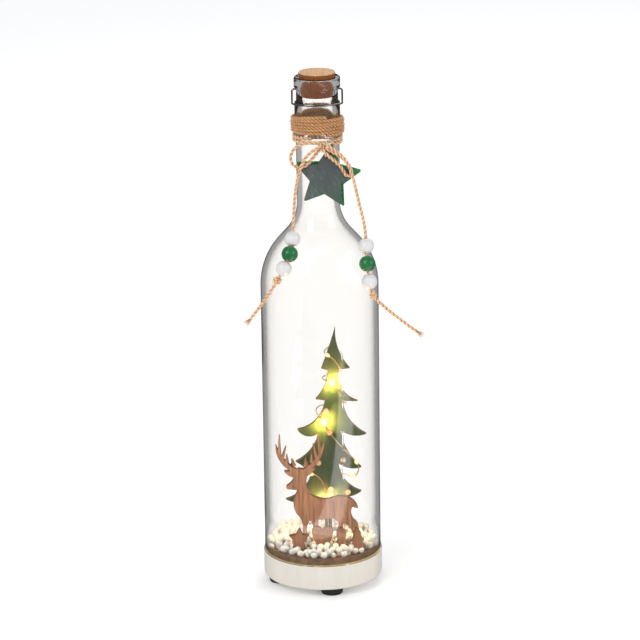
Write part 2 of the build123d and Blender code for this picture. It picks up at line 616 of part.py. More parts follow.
def contact_springs():
    """Two tapered coil springs that press the cells' flat ends."""
    wide = (SPRING_WIDE_DIAMETER - SPRING_WIRE) / 2
    narrow = (SPRING_NARROW_DIAMETER - SPRING_WIRE) / 2
    climb = SPRING_HEIGHT - SPRING_WIRE
    turn_deg = SPRING_TURNS * 360
    segments = round(SPRING_TURNS * 4)
    path = winding(wide, narrow, SPRING_WIRE / 2, climb, 0.0, turn_deg, segments, SPRING_WIRE)
    print_least_gap("contact_springs", path, SPRING_TURNS, SPRING_WIRE)
    spring = tube(SPRING_WIRE, path)
    far = Plane(origin=(CONTACT_THICKNESS - case_inside, cell_side, cell_height), z_dir=(1, 0, 0))
    near = Plane(origin=(divider_start - CONTACT_THICKNESS, -cell_side, cell_height), z_dir=(-1, 0, 0))
    return group([far * spring, near * spring], case_place)


def switch_body():
    """The slide switch's housing, with the pocket that its slider runs in."""
    half_depth, half_width = SWITCH_DEPTH / 2, SWITCH_WIDTH / 2
    body = block(-half_depth, half_depth, -half_width, half_width, cover_top, cover_top + SWITCH_HEIGHT)
    pocket_depth = SLIDER_FLANGE_DEPTH / 2 + SLIP_GAP
    pocket_width = (SLIDER_FLANGE_WIDTH + SLIDER_TRAVEL) / 2 + SLIP_GAP
    pocket_top = cover_top + SWITCH_POCKET_HEIGHT
    body -= block(-pocket_depth, pocket_depth, -pocket_width, pocket_width, cover_top - OVERRUN, pocket_top)
    return wire_drop * body


def switch_slider():
    """The switch's slider at its off end: a flange in the housing and a knob through the case."""
    half_depth, half_width = SLIDER_DEPTH / 2, SLIDER_WIDTH / 2
    slider = block(-half_depth, half_depth, -half_width, half_width, FOOT_HEIGHT - SLIDER_REACH, cover_top + SLIP_GAP)
    flange_depth, flange_width = SLIDER_FLANGE_DEPTH / 2, SLIDER_FLANGE_WIDTH / 2
    flange_bottom = cover_top + SLIP_GAP
    flange_top = flange_bottom + SLIDER_FLANGE_HEIGHT
    slider += block(-flange_depth, flange_depth, -flange_width, flange_width, flange_bottom, flange_top)
    return wire_drop * Pos(0, -SLIDER_TRAVEL / 2, 0) * slider


def slot(middle, width, thickness, offset):
    """A blind slot in the floor disc for a board's tab."""
    half = width / 2 + SLOT_GAP
    depth = thickness / 2 + SLOT_GAP
    return block(middle - half, middle + half, offset - depth, offset + depth, floor_top - SLOT_DEPTH, floor_top + OVERRUN)


def cutout_places():
    """Middle of each small cut-out, from left to right."""
    return (STAR_CUTOUT_X, HEART_CUTOUT_X, BELL_CUTOUT_X, FIR_CUTOUT_X)


def floor_disc():
    """The stained disc glued to the base inside the glass, with slots and the wire's channel."""
    floor = disc(inner_radius - FLOOR_GAP, base_top, floor_top)
    floor -= slot(TREE_TRUNK_X, TREE_TAB_WIDTH, TREE_BOARD, TREE_OFFSET)
    for share in DEER_TAB_SHARES:
        floor -= slot(DEER_MIDDLE + share * DEER_LENGTH, DEER_TAB_WIDTH, DEER_BOARD, DEER_OFFSET)
    for middle in cutout_places():
        floor -= slot(middle, CUTOUT_STEM_WIDTH, CUTOUT_BOARD, CUTOUT_OFFSET)
    rise = led_route[-1]
    drop = wire_drop.position
    hole = disc(WIRE_HOLE_DIAMETER / 2, base_top - OVERRUN, floor_top + OVERRUN)
    pocket = disc(WIRE_HOLE_DIAMETER / 2, base_top - OVERRUN, base_top + WIRE_CHANNEL_HEIGHT)
    floor = floor - Pos(rise.X, rise.Y, 0) * hole - Pos(drop.X, drop.Y, 0) * pocket
    reach = math.hypot(drop.X - rise.X, drop.Y - rise.Y)
    heading = math.degrees(math.atan2(drop.Y - rise.Y, drop.X - rise.X))
    half = WIRE_CHANNEL_WIDTH / 2
    channel = block(0, reach, -half, half, base_top - OVERRUN, base_top + WIRE_CHANNEL_HEIGHT)
    return floor - Pos(rise.X, rise.Y, 0) * Rot(0, 0, heading) * channel


def glue_ring():
    """The bead of glue between the base and the rim of the glass."""
    return disc(glass_radius, base_top, glass_bottom) - disc(inner_radius, base_top - OVERRUN, glass_bottom + OVERRUN)


def shoulder_edges(body, neck, convex, concave):
    """The shoulder's outline: an outward arc, a straight slope and the arc into the neck."""
    run = shoulder_run(body, neck, convex, concave)
    arc_end = (body - convex * (1 - math.cos(slope)), shoulder_start + convex * math.sin(slope))
    run_end = (arc_end[0] - run * math.sin(slope), arc_end[1] + run * math.cos(slope))
    neck_end = (neck, run_end[1] + concave * math.sin(slope))
    half = slope / 2
    convex_middle = (body - convex * (1 - math.cos(half)), shoulder_start + convex * math.sin(half))
    concave_middle = (neck + concave * (1 - math.cos(half)), neck_end[1] - concave * math.sin(half))
    edges = [ThreePointArc((body, shoulder_start), convex_middle, arc_end)]
    edges.append(Line(arc_end, run_end))
    edges.append(ThreePointArc(run_end, concave_middle, neck_end))
    return edges, neck_end


def cork_radius(height):
    """The cork's radius at a level."""
    taper = (CORK_TOP_DIAMETER - CORK_BOTTOM_DIAMETER) / 2 / CORK_LENGTH
    return CORK_BOTTOM_DIAMETER / 2 + (height - cork_bottom) * taper


def bottle_glass():
    """The bottle with its bottom cut off: body, shoulder, neck, collar, groove and lip."""
    neck = NECK_BASE_DIAMETER / 2
    bore = NECK_BORE / 2
    outer, outer_end = shoulder_edges(glass_radius, neck, SHOULDER_RADIUS, NECK_BLEND_RADIUS)
    neck_wall = neck - bore
    inner_convex = SHOULDER_RADIUS - GLASS_WALL
    inner, inner_end = shoulder_edges(inner_radius, bore, inner_convex, NECK_BLEND_RADIUS + neck_wall)
    collar, groove, lip = COLLAR_DIAMETER / 2, GROOVE_DIAMETER / 2, LIP_DIAMETER / 2
    mouth = cork_radius(lip_top) + CORK_FIT_GAP
    seat_slope = (mouth - cork_radius(cork_bottom) - CORK_FIT_GAP) / (lip_top - cork_bottom)
    seat_bottom = lip_top - (mouth - bore) / seat_slope
    finish = [
        outer_end,
        (NECK_TOP_DIAMETER / 2, flare_start),
        (collar, collar_start),
        (collar, collar_top),
        (groove, collar_top + GROOVE_BEVEL),
        (groove, groove_top),
        (lip, groove_top + GROOVE_BEVEL),
        (lip, lip_top - LIP_ROUND),
    ]
    edges = [Line((glass_radius, glass_bottom + FOOT_RIM_ROUND), (glass_radius, shoulder_start))]
    edges += outer
    edges += [Line(here, there) for here, there in zip(finish, finish[1:])]
    edges.append(RadiusArc(finish[-1], (lip - LIP_ROUND, lip_top), -LIP_ROUND))
    edges.append(Line((lip - LIP_ROUND, lip_top), (mouth, lip_top)))
    edges.append(Line((mouth, lip_top), (bore, seat_bottom)))
    edges.append(Line((bore, seat_bottom), inner_end))
    edges += inner
    edges.append(Line((inner_radius, shoulder_start), (inner_radius, glass_bottom)))
    edges.append(Line((inner_radius, glass_bottom), (glass_radius - FOOT_RIM_ROUND, glass_bottom)))
    rim_start = (glass_radius - FOOT_RIM_ROUND, glass_bottom)
    edges.append(RadiusArc(rim_start, (glass_radius, glass_bottom + FOOT_RIM_ROUND), -FOOT_RIM_ROUND))
    glass = revolve(Plane.XZ * make_face(Wire(edges)), axis=Axis.Z)
    dimple_radius = LEVER_WIRE / 2 + DIMPLE_GAP
    for side in (-1, 1):
        origin = (side * (groove - DIMPLE_DEPTH), 0, pivot_height)
        dimple = Plane(origin=origin, z_dir=(side, 0, 0)) * disc(dimple_radius, 0, DIMPLE_DEPTH + OVERRUN)
        glass -= dimple
    return glass


def cork_stopper():
    """The tapered cork, proud of the lip, with softened edges."""
    length_align = (Align.CENTER, Align.CENTER, Align.MIN)
    cork = Cone(CORK_BOTTOM_DIAMETER / 2, CORK_TOP_DIAMETER / 2, CORK_LENGTH, align=length_align)
    cork = fillet(cork.edges().filter_by(GeomType.CIRCLE), CORK_EDGE_ROUND)
    return Pos(0, 0, cork_bottom) * cork


def wire_lever():
    """The bent wire bail: two short pivots, two legs and a half circle across the front."""
    pivot_end = GROOVE_DIAMETER / 2 - DIMPLE_DEPTH + LEVER_END_GAP
    rise = math.radians(LEVER_RISE_DEG)
    forward = Vector(0, -math.cos(rise), math.sin(rise))
    low = pivot_height - LEVER_DROP
    turn = math.radians(90 + LEVER_RISE_DEG)
    lead = LEVER_BEND_RADIUS * math.tan(turn / 2) + LEVER_LEAD
    front = Vector(0, 0, low) + forward * (lead + LEVER_HALF_WIDTH)
    edges = []
    ends = []
    for side in (-1, 1):
        wide = side * LEVER_HALF_WIDTH
        start = Vector(side * pivot_end, 0, pivot_height)
        end = Vector(wide, 0, low) + forward * lead
        leg = FilletPolyline(start, (wide, 0, pivot_height), (wide, 0, low), end, radius=LEVER_BEND_RADIUS)
        edges += leg.edges()
        ends.append(end)
    edges.append(ThreePointArc(ends[0], front, ends[1]).edge())
    return tube(LEVER_WIRE, Wire(edges))


def jute_wrap():
    """Jute twine wound round the collar as one open winding."""
    radius = COLLAR_DIAMETER / 2 + CURVE_GAP + WRAP_ROPE / 2
    bottom = collar_start + WRAP_RISE
    segments = WRAP_TURNS * 4
    path = winding(radius, radius, bottom, WRAP_TURNS * WRAP_PITCH, -70.0, WRAP_TURNS * 360, segments, WRAP_ROPE)
    print_least_gap("jute_wrap", path, WRAP_TURNS, WRAP_ROPE)
    return tube(WRAP_ROPE, path)


def bow_neck_turn():
    """The bow's rope twice round the neck, both ends drawn into the knot."""
    radius = NECK_TOP_DIAMETER / 2 + CURVE_GAP + NECK_ROPE_DIAMETER / 2
    turns = NECK_ROPE_TURN_DEG / 360
    climb = NECK_ROPE_PITCH * turns
    bottom = neck_start + NECK_ROPE_HEIGHT
    path = winding(radius, radius, bottom, climb, NECK_ROPE_START_DEG, NECK_ROPE_TURN_DEG, NECK_ROPE_SEGMENTS, NECK_ROPE_LEAD)
    return tube(NECK_ROPE_DIAMETER, path)


def knot(place, diameter):
    """A tight overhand knot as its outer shape."""
    return Pos(place) * Sphere(diameter / 2)


def knot_on(route, run, diameter):
    """The stop knot in the middle of a tail's run."""
    return knot((route[run] + route[run + 1]) / 2, diameter)


def bead(diameter, start, end):
    """A turned wooden ball cut flat at its bore, threaded on the middle of a cord's run."""
    blank = Sphere(diameter / 2) & Cylinder(diameter, BEAD_LENGTH)
    blank -= Cylinder(BEAD_BORE / 2, diameter)
    return Plane(origin=(start + end) / 2, z_dir=(end - start)) * blank


def bead_on(route, first_run, index):
    """One of a tail's beads, on its own run."""
    run = first_run + index
    return bead(TAIL_BEADS[index], route[run], route[run + 1])


def star_face(radius, tip_shares):
    """A five-pointed star about the origin, first point up, then clockwise."""
    step = 360 / STAR_POINTS
    points = []
    for index in range(STAR_POINTS):
        tip = point_on_circle(radius * tip_shares[index], 90 - step * index, 0)
        points.append((tip.X, tip.Y))
        notch = point_on_circle(radius * STAR_INNER_SHARE, 90 - step * (index + 1 / 2), 0)
        points.append((notch.X, notch.Y))
    return make_face(Polyline(*points, close=True))


def rounded_star(radius, tip_shares):
    """The star with its tips softened."""
    face = star_face(radius, tip_shares)
    tips = [corner for corner in face.vertices() if Vector(*corner).length > radius * (1 + STAR_INNER_SHARE) / 2]
    return fillet(tips, STAR_TIP_ROUND)


def hung_star(radius, tip_shares, centre, turn_deg, thickness, near_face):
    """A star board in front of the neck, turned clockwise, with the hole that its twine goes through."""
    across, height = centre
    face = Pos(across, collar_start + height) * Rot(0, 0, -turn_deg) * rounded_star(radius, tip_shares)
    star = board(face, thickness, -near_face - thickness / 2)
    hole_x, hole_height = STAR_HOLE_PLACE
    hole_face = Pos(hole_x, collar_start + hole_height) * Circle(STAR_HOLE_DIAMETER / 2)
    return star - board(hole_face, thickness + OVERRUN * 2, -near_face - thickness / 2)


def glitter_star():
    """The larger star, nearer the neck."""
    shares = BACK_STAR_TIP_SHARES
    return hung_star(BACK_STAR_RADIUS, shares, BACK_STAR_CENTRE, BACK_STAR_TURN_DEG, BACK_STAR_THICKNESS, BACK_STAR_FACE)


def chalk_star():
    """The smaller slate star in front."""
    face = BACK_STAR_FACE + BACK_STAR_THICKNESS + STAR_STACK_GAP
    return hung_star(
        FRONT_STAR_RADIUS, FRONT_STAR_TIP_SHARES, FRONT_STAR_CENTRE, FRONT_STAR_TURN_DEG, FRONT_STAR_THICKNESS, face
    )


def star_string():
    """The twine that comes down from the knot, through both stars and up again behind them."""
    hole_x, hole_height = STAR_HOLE_PLACE
    hole_z = collar_start + hole_height
    clear = TWINE_DIAMETER / 2 + STAR_STACK_GAP
    back = clear - BACK_STAR_FACE
    front = -BACK_STAR_FACE - BACK_STAR_THICKNESS - STAR_STACK_GAP - FRONT_STAR_THICKNESS - clear
    knot_x, knot_y, knot_z = knot_place
    top = knot_z - KNOT_DIAMETER / 4
    points = (
        (knot_x, knot_y, top),
        (hole_x, front, hole_z + TWINE_DIAMETER * 3),
        (hole_x, front, hole_z),
        (hole_x, back, hole_z),
        (hole_x, back, hole_z + TWINE_DIAMETER * 3),
        (knot_x, back + (knot_y - back) / 4, top),
    )
    return cord("star_string", raised(points, 0), TWINE_DIAMETER)


def tree_face():
    """The fir's outline, with its trunk, foot and tab."""
    crown = outline(TREE_SIDE_SHARES, TREE_TIP_SHARES, TREE_WIDTH, TREE_HEIGHT, rise=floor_top)
    half_trunk, half_foot, half_tab = TREE_TRUNK_WIDTH / 2, TREE_FOOT_WIDTH / 2, TREE_TAB_WIDTH / 2
    trunk_top = floor_top + TREE_HEIGHT / 4
    trunk = flat_bar(TREE_TRUNK_X, half_trunk, floor_top, trunk_top)
    foot = flat_bar(TREE_TRUNK_X, half_foot, floor_top, floor_top + TREE_FOOT_HEIGHT)
    tab = flat_bar(TREE_TRUNK_X, half_tab, floor_top - SLOT_DEPTH, floor_top)
    return crown + trunk + foot + tab


def flat_bar(middle, half_width, bottom, top):
    """A rectangle in a board's outline."""
    return Pos(middle, (bottom + top) / 2) * Rectangle(half_width * 2, top - bottom)


def fir_tree():
    """The fir board."""
    return board(tree_face(), TREE_BOARD, TREE_OFFSET)


def tree_discs():
    """Small slices of a branch glued to the front of the fir."""
    front = TREE_OFFSET - TREE_BOARD / 2
    discs = []
    for across, up in TREE_DISC_SHARES:
        place = Plane(origin=(across * TREE_WIDTH, front, floor_top + up * TREE_HEIGHT), z_dir=(0, -1, 0))
        discs.append(place * disc(TREE_DISC_DIAMETER / 2, 0, TREE_DISC_THICKNESS))
    return group(discs)


def tine_face(row):
    """One tine of an antler, a slim wedge."""
    left, low, right, high = row
    root = Vector(DEER_MIDDLE + left * DEER_LENGTH, floor_top + low * DEER_HEIGHT)
    tip = Vector(DEER_MIDDLE + right * DEER_LENGTH, floor_top + high * DEER_HEIGHT)
    way = (tip - root).normalized()
    side = Vector(-way.Y, way.X)
    root_side = side * (DEER_TINE_WIDTH / 2)
    tip_side = side * (DEER_TINE_TIP_WIDTH / 2)
    return make_face(Polyline(root - root_side, root + root_side, tip + tip_side, tip - tip_side, close=True))


def deer_face():
    """The reindeer's outline: body, antlers, legs on a ground bar, and two tabs."""
    face = outline(DEER_BODY_SHARES, DEER_START_SHARES, DEER_LENGTH, DEER_HEIGHT, DEER_MIDDLE, floor_top)
    for rows in DEER_ANTLER_SHARES:
        face += outline(rows[1:], rows[0], DEER_LENGTH, DEER_HEIGHT, DEER_MIDDLE, floor_top)
    for row in DEER_TINE_SHARES:
        face += tine_face(row)
    for rows in DEER_GAP_SHARES:
        face -= outline(rows[1:], rows[0], DEER_LENGTH, DEER_HEIGHT, DEER_MIDDLE, floor_top)
    for share in DEER_TAB_SHARES:
        middle = DEER_MIDDLE + share * DEER_LENGTH
        face += flat_bar(middle, DEER_TAB_WIDTH / 2, floor_top - SLOT_DEPTH, floor_top)
    return face


def reindeer():
    """The reindeer board."""
    return board(deer_face(), DEER_BOARD, DEER_OFFSET)


def on_stem(face, middle, shape_bottom):
    """A small cut-out raised on a stem that stands in the floor disc."""
    stem = flat_bar(middle, CUTOUT_STEM_WIDTH / 2, floor_top - SLOT_DEPTH, shape_bottom)
    return board(face + stem, CUTOUT_BOARD, CUTOUT_OFFSET)


def cutout_star():
    """The small star."""
    radius = STAR_CUTOUT_WIDTH * CUTOUT_RADIUS_SHARE
    height = floor_top + CUTOUT_TOP - radius
    face = Pos(STAR_CUTOUT_X, height) * star_face(radius, (1,) * STAR_POINTS)
    return on_stem(face, STAR_CUTOUT_X, height)


def cutout_heart():
    """The heart: two lobes that run down to a point."""
    rows = (
        (-0.27, 1.06, -0.5, 0.72), (-0.36, 0.33, 0.0, 0.0), (0.36, 0.33, 0.5, 0.72), (0.27, 1.06, 0.0, 0.8),
    )
    bottom = floor_top + CUTOUT_TOP - HEART_CUTOUT_HEIGHT
    face = outline(rows, (0.0, 0.8), HEART_CUTOUT_WIDTH, HEART_CUTOUT_HEIGHT, HEART_CUTOUT_X, bottom)
    return on_stem(face, HEART_CUTOUT_X, bottom + HEART_CUTOUT_HEIGHT / 4)


def cutout_bell():
    """The bell, with a round crown, a flared rim and its clapper."""
    rows = (
        (-0.28, 0.84, -0.3, 0.5), (-0.34, 0.28, -0.5, 0.16), (-0.13, 0.14), (0.0, 0.0, 0.13, 0.14),
        (0.5, 0.16), (0.34, 0.28, 0.3, 0.5), (0.28, 0.84, 0.0, 1.0),
    )
    bottom = floor_top + CUTOUT_TOP - BELL_CUTOUT_HEIGHT
    face = outline(rows, (0.0, 1.0), BELL_CUTOUT_WIDTH, BELL_CUTOUT_HEIGHT, BELL_CUTOUT_X, bottom)
    return on_stem(face, BELL_CUTOUT_X, bottom + BELL_CUTOUT_HEIGHT / 4)


def cutout_fir():
    """The little fir in three tiers."""
    rows = (
        (-0.26, 0.66), (-0.15, 0.66), (-0.38, 0.33), (-0.24, 0.33), (-0.5, 0.0), (0.5, 0.0),
        (0.24, 0.33), (0.38, 0.33), (0.15, 0.66), (0.26, 0.66), (0.0, 1.0),
    )
    bottom = floor_top + CUTOUT_TOP - FIR_CUTOUT_HEIGHT
    face = outline(rows, (0.0, 1.0), FIR_CUTOUT_WIDTH, FIR_CUTOUT_HEIGHT, FIR_CUTOUT_X, bottom)
    return on_stem(face, FIR_CUTOUT_X, bottom)


def snow_slot(left, right, thickness, offset):
    """The room that the snow leaves round a board."""
    half = thickness / 2 + SNOW_GAP
    top = floor_top + SNOW_EDGE_HEIGHT + SNOW_CROWN + OVERRUN
    return block(left - SNOW_GAP, right + SNOW_GAP, offset - half, offset + half, floor_top - OVERRUN, top)


def snow_bed():
    """The heap of foam snow as its outer shape, highest in the middle."""
    radius = inner_radius - FLOOR_GAP
    edge_height = floor_top + SNOW_EDGE_HEIGHT
    crown_height = edge_height + SNOW_CROWN
    side = [Line((0, floor_top), (radius, floor_top)), Line((radius, floor_top), (radius, edge_height))]
    dome = (radius ** 2 + SNOW_CROWN ** 2) / 2 / SNOW_CROWN
    middle_height = crown_height - dome + math.sqrt(dome ** 2 - (radius / 2) ** 2)
    side.append(ThreePointArc((radius, edge_height), (radius / 2, middle_height), (0, crown_height)))
    side.append(Line((0, crown_height), (0, floor_top)))
    snow = revolve(Plane.XZ * make_face(Wire(side)), axis=Axis.Z)
    half_foot = TREE_FOOT_WIDTH / 2
    snow -= snow_slot(TREE_TRUNK_X - half_foot, TREE_TRUNK_X + half_foot, TREE_BOARD, TREE_OFFSET)
    half_deer = DEER_LENGTH / 2
    snow -= snow_slot(DEER_MIDDLE - half_deer, DEER_MIDDLE + half_deer, DEER_BOARD, DEER_OFFSET)
    row_start = STAR_CUTOUT_X - STAR_CUTOUT_WIDTH / 2
    row_end = FIR_CUTOUT_X + FIR_CUTOUT_WIDTH / 2
    snow -= snow_slot(row_start, row_end, CUTOUT_BOARD, CUTOUT_OFFSET)
    rise = led_route[-1]
    hole = disc(WIRE_CHANNEL_WIDTH / 2, floor_top - OVERRUN, crown_height + OVERRUN)
    return snow - Pos(rise.X, rise.Y, 0) * hole


def led_wire():
    """The twin wire: from the back of the tip, round the branches, down the trunk, through the floor
    disc and along its channel to the switch."""
    rise = led_route[-1]
    drop = wire_drop.position
    level = base_top + WIRE_CHANNEL_HEIGHT - LED_WIRE
    switch_top = cover_top + SWITCH_HEIGHT
    hidden = [Vector(rise.X, rise.Y, level), Vector(drop.X, drop.Y, level), Vector(drop.X, drop.Y, switch_top)]
    return cord("led_wire", led_route + hidden, LED_WIRE, len(hidden) - 1, WIRE_HOLE_DIAMETER / 2)


def led_bulbs():
    """Drops of clear resin round the wire, each over one light."""
    radius = LED_DIAMETER / 2
    reach = LED_LENGTH / 2 - radius
    drop = Cylinder(radius, reach * 2) + Pos(0, 0, reach) * Sphere(radius) + Pos(0, 0, -reach) * Sphere(radius)
    bulbs = []
    for run in LED_RUNS:
        start, end = led_route[run], led_route[run + 1]
        bulbs.append(Plane(origin=(start + end) / 2, z_dir=(end - start)) * drop)
    return group(bulbs)


left_knot_run = FIRST_BEAD_RUN_LEFT + len(TAIL_BEADS)
right_knot_run = FIRST_BEAD_RUN_RIGHT + len(TAIL_BEADS)
parts = {
    "rubber_feet": rubber_feet(),
    "base_block": base_block(),
    "battery_case": battery_case(),
    "battery_cover": battery_cover(),
    "cover_screw": cover_screw(),
    "battery_cells": battery_cells(),
    "contact_plates": contact_plates(),
    "contact_springs": contact_springs(),
    "switch_body": switch_body(),
    "switch_slider": switch_slider(),
    "floor_disc": floor_disc(),
    "glue_ring": glue_ring(),
    "bottle_glass": bottle_glass(),
    "cork_stopper": cork_stopper(),
    "wire_lever": wire_lever(),
    "jute_wrap": jute_wrap(),
    "bow_neck_turn": bow_neck_turn(),
    "bow_knot": knot(knot_place, KNOT_DIAMETER),
    "bow_loop_left": cord("bow_loop_left", loop_left_route, ROPE_DIAMETER),
    "bow_loop_right": cord("bow_loop_right", loop_right_route, ROPE_DIAMETER),
    "tail_left": cord("tail_left", tail_left_route, ROPE_DIAMETER),
    "tail_right": cord("tail_right", tail_right_route, ROPE_DIAMETER),
    "tail_knot_left": knot_on(tail_left_route, left_knot_run, LEFT_KNOT_DIAMETER),
    "tail_knot_right": knot_on(tail_right_route, right_knot_run, RIGHT_KNOT_DIAMETER),
    "bead_left_upper": bead_on(tail_left_route, FIRST_BEAD_RUN_LEFT, 0),
    "bead_left_middle": bead_on(tail_left_route, FIRST_BEAD_RUN_LEFT, 1),
    "bead_left_lower": bead_on(tail_left_route, FIRST_BEAD_RUN_LEFT, 2),
    "bead_right_upper": bead_on(tail_right_route, FIRST_BEAD_RUN_RIGHT, 0),
    "bead_right_middle": bead_on(tail_right_route, FIRST_BEAD_RUN_RIGHT, 1),
    "bead_right_lower": bead_on(tail_right_route, FIRST_BEAD_RUN_RIGHT, 2),
    "glitter_star": glitter_star(),
    "chalk_star": chalk_star(),
    "star_string": star_string(),
    "fir_tree": fir_tree(),
    "tree_discs": tree_discs(),
    "reindeer": reindeer(),
    "cutout_star": cutout_star(),
    "cutout_heart": cutout_heart(),
    "cutout_bell": cutout_bell(),
    "cutout_fir": cutout_fir(),
    "snow_bed": snow_bed(),
    "led_wire": led_wire(),
    "led_bulbs": led_bulbs(),
}

os.makedirs("parts", exist_ok=True)
for name, shape in parts.items():
    export_step(shape, f"parts/{name}.step")
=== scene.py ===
import math
import random

import bmesh
import bpy
from mathutils import Matrix, Vector


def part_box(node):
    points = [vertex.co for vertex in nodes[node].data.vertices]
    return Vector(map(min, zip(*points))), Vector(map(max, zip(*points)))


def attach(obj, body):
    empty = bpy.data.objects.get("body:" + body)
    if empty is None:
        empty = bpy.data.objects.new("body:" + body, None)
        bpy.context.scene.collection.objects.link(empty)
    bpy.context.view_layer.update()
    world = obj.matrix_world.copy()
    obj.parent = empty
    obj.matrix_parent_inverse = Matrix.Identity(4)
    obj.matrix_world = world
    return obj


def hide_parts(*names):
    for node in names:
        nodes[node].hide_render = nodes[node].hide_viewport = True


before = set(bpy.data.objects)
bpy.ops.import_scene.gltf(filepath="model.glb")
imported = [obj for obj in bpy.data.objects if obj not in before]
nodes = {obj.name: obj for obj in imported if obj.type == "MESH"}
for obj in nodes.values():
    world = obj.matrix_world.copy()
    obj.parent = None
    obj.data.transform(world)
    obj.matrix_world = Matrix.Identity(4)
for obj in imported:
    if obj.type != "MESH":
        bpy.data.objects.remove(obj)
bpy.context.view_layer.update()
scene = bpy.context.scene


# Rubber feet: four black pads moulded in rubber, glued under the base at the corners of the battery case.
# They keep their CAD shape. A faint mottle in colour, gloss and relief makes them look moulded and handled.
def feed(tree, socket, value):
    """Links a socket to the one that feeds it, or sets its value. A colour is given as three numbers."""
    if isinstance(value, bpy.types.NodeSocket):
        tree.links.new(value, socket)
    else:
        socket.default_value = (*value, 1) if socket.type == "RGBA" else value


def add(tree, kind, inputs=None, **settings):
    """A node with its settings and its inputs."""
    node = tree.nodes.new(kind)
    for key, value in settings.items():
        setattr(node, key, value)
    for key, value in (inputs or {}).items():
        feed(tree, node.inputs[key], value)
    return node


def result(tree, kind, inputs=None, **settings):
    """The first output in use of a new node."""
    return next(socket for socket in add(tree, kind, inputs, **settings).outputs if socket.enabled)


def new_group(name, kind, inputs, outputs):
    """A node group with named inputs and outputs."""
    group = bpy.data.node_groups.new(name, kind)
    for in_out, sockets in (("INPUT", inputs), ("OUTPUT", outputs)):
        for label, socket_kind in sockets.items():
            group.interface.new_socket(label, in_out=in_out, socket_type=f"NodeSocket{socket_kind}")
    return group, group.nodes.new("NodeGroupInput").outputs, group.nodes.new("NodeGroupOutput")


def finish_group(group, out, results):
    """Feeds a group's outputs."""
    for label, source in results.items():
        group.links.new(source, out.inputs[label])
    return group


def math_node(tree, operation, first, second=0.0, clamp=False):
    """One step of arithmetic."""
    return result(tree, "ShaderNodeMath", {0: first, 1: second}, operation=operation, use_clamp=clamp)


def times(tree, first, second):
    """Two values multiplied."""
    return math_node(tree, "MULTIPLY", first, second)


def scaled(tree, vector, factor):
    """A vector or a colour times a number."""
    return result(tree, "ShaderNodeVectorMath", {0: vector, "Scale": factor}, operation="SCALE")


def noise(tree, vector, scale, detail=2.0, roughness=0.5):
    """A noise value at a scale."""
    inputs = {"Vector": vector, "Scale": scale, "Detail": detail, "Roughness": roughness}
    return result(tree, "ShaderNodeTexNoise", inputs)


def object_place(tree):
    """Object coordinates."""
    return add(tree, "ShaderNodeTexCoord").outputs["Object"]


def new_material(name, **values):
    """A material with its shader, the values that are the same all over set on the shader's own sockets."""
    material = bpy.data.materials.new(name)
    material.use_nodes = True
    tree = material.node_tree
    tree.nodes.clear()
    shader = add(tree, "ShaderNodeBsdfPrincipled")
    for label, value in values.items():
        feed(tree, shader.inputs[label.replace("_", " ")], value)
    out = add(tree, "ShaderNodeOutputMaterial", {"Surface": shader.outputs["BSDF"]})
    return material, tree, shader, out


def surface(tree, shader, colour, height, strength, distance=0.0002):
    """A shader's colour and relief."""
    relief = result(tree, "ShaderNodeBump", {"Height": height, "Strength": strength, "Distance": distance})
    feed(tree, shader.inputs["Base Color"], colour)
    feed(tree, shader.inputs["Normal"], relief)


tree, given, out = new_group(
    "surface mottle",
    "ShaderNodeTree",
    {"Vector": "Vector", "Colour": "Color", "Scale": "Float", "Amount": "Float", "Gloss": "Float"},
    {"Colour": "Color", "Roughness": "Float", "Height": "Float"},
)
fine = noise(tree, given["Vector"], given["Scale"], 4.0, 0.6)
broad = noise(tree, given["Vector"], times(tree, given["Scale"], 0.08))
swing = math_node(tree, "SUBTRACT", math_node(tree, "ADD", fine, broad), 1.0)
level = math_node(tree, "ADD", 1.0, times(tree, swing, given["Amount"]))
rough = math_node(tree, "ADD", given["Gloss"], times(tree, swing, 0.18), clamp=True)
results = {"Colour": scaled(tree, given["Colour"], level), "Roughness": rough, "Height": fine}
mottle_group = finish_group(tree, out, results)


def mottled(name, colour, gloss, scale, amount, relief, **values):
    """A material with the mottle."""
    material, tree, shader, _ = new_material(name, **values)
    inputs = {"Vector": object_place(tree), "Colour": colour, "Scale": scale, "Amount": amount, "Gloss": gloss}
    mottle = add(tree, "ShaderNodeGroup", inputs, node_tree=mottle_group).outputs
    feed(tree, shader.inputs["Roughness"], mottle["Roughness"])
    surface(tree, shader, mottle["Colour"], mottle["Height"], relief, 0.0003)
    return material


def finish_nodes(material, *names):
    """Puts a material on CAD nodes that keep their shape."""
    for name in names:
        slots = nodes[name].material_slots
        if slots:
            for entry in slots:
                entry.material = material
        else:
            nodes[name].data.materials.append(material)


finish_nodes(mottled("black_rubber", (0.022, 0.022, 0.024), 0.7, 2500.0, 0.25, 0.3), "rubber_feet")

# Battery case: a moulded white tray let into the base from below, its cover held by a ledge and a screw,
# with a black slide switch in a pocket beside the cells.
finish_nodes(
    mottled("white_plastic", (0.78, 0.77, 0.74), 0.42, 3000.0, 0.05, 0.12), "battery_case", "battery_cover"
)
finish_nodes(mottled("black_plastic", (0.03, 0.03, 0.032), 0.45, 3000.0, 0.1, 0.1), "switch_body", "switch_slider")

# Contacts and cells: two cells in printed sleeves lie between pressed plates and coil springs. The plates,
# the springs and the cover's screw are steel, plated with zinc.
finish_nodes(
    mottled("zinc_steel", (0.62, 0.63, 0.64), 0.32, 1800.0, 0.12, 0.08, Metallic=1.0),
    "cover_screw",
    "contact_plates",
    "contact_springs",
)
finish_nodes(mottled("cell_wrap", (0.16, 0.20, 0.26), 0.3, 1500.0, 0.1, 0.05, Coat_Weight=0.4), "battery_cells")


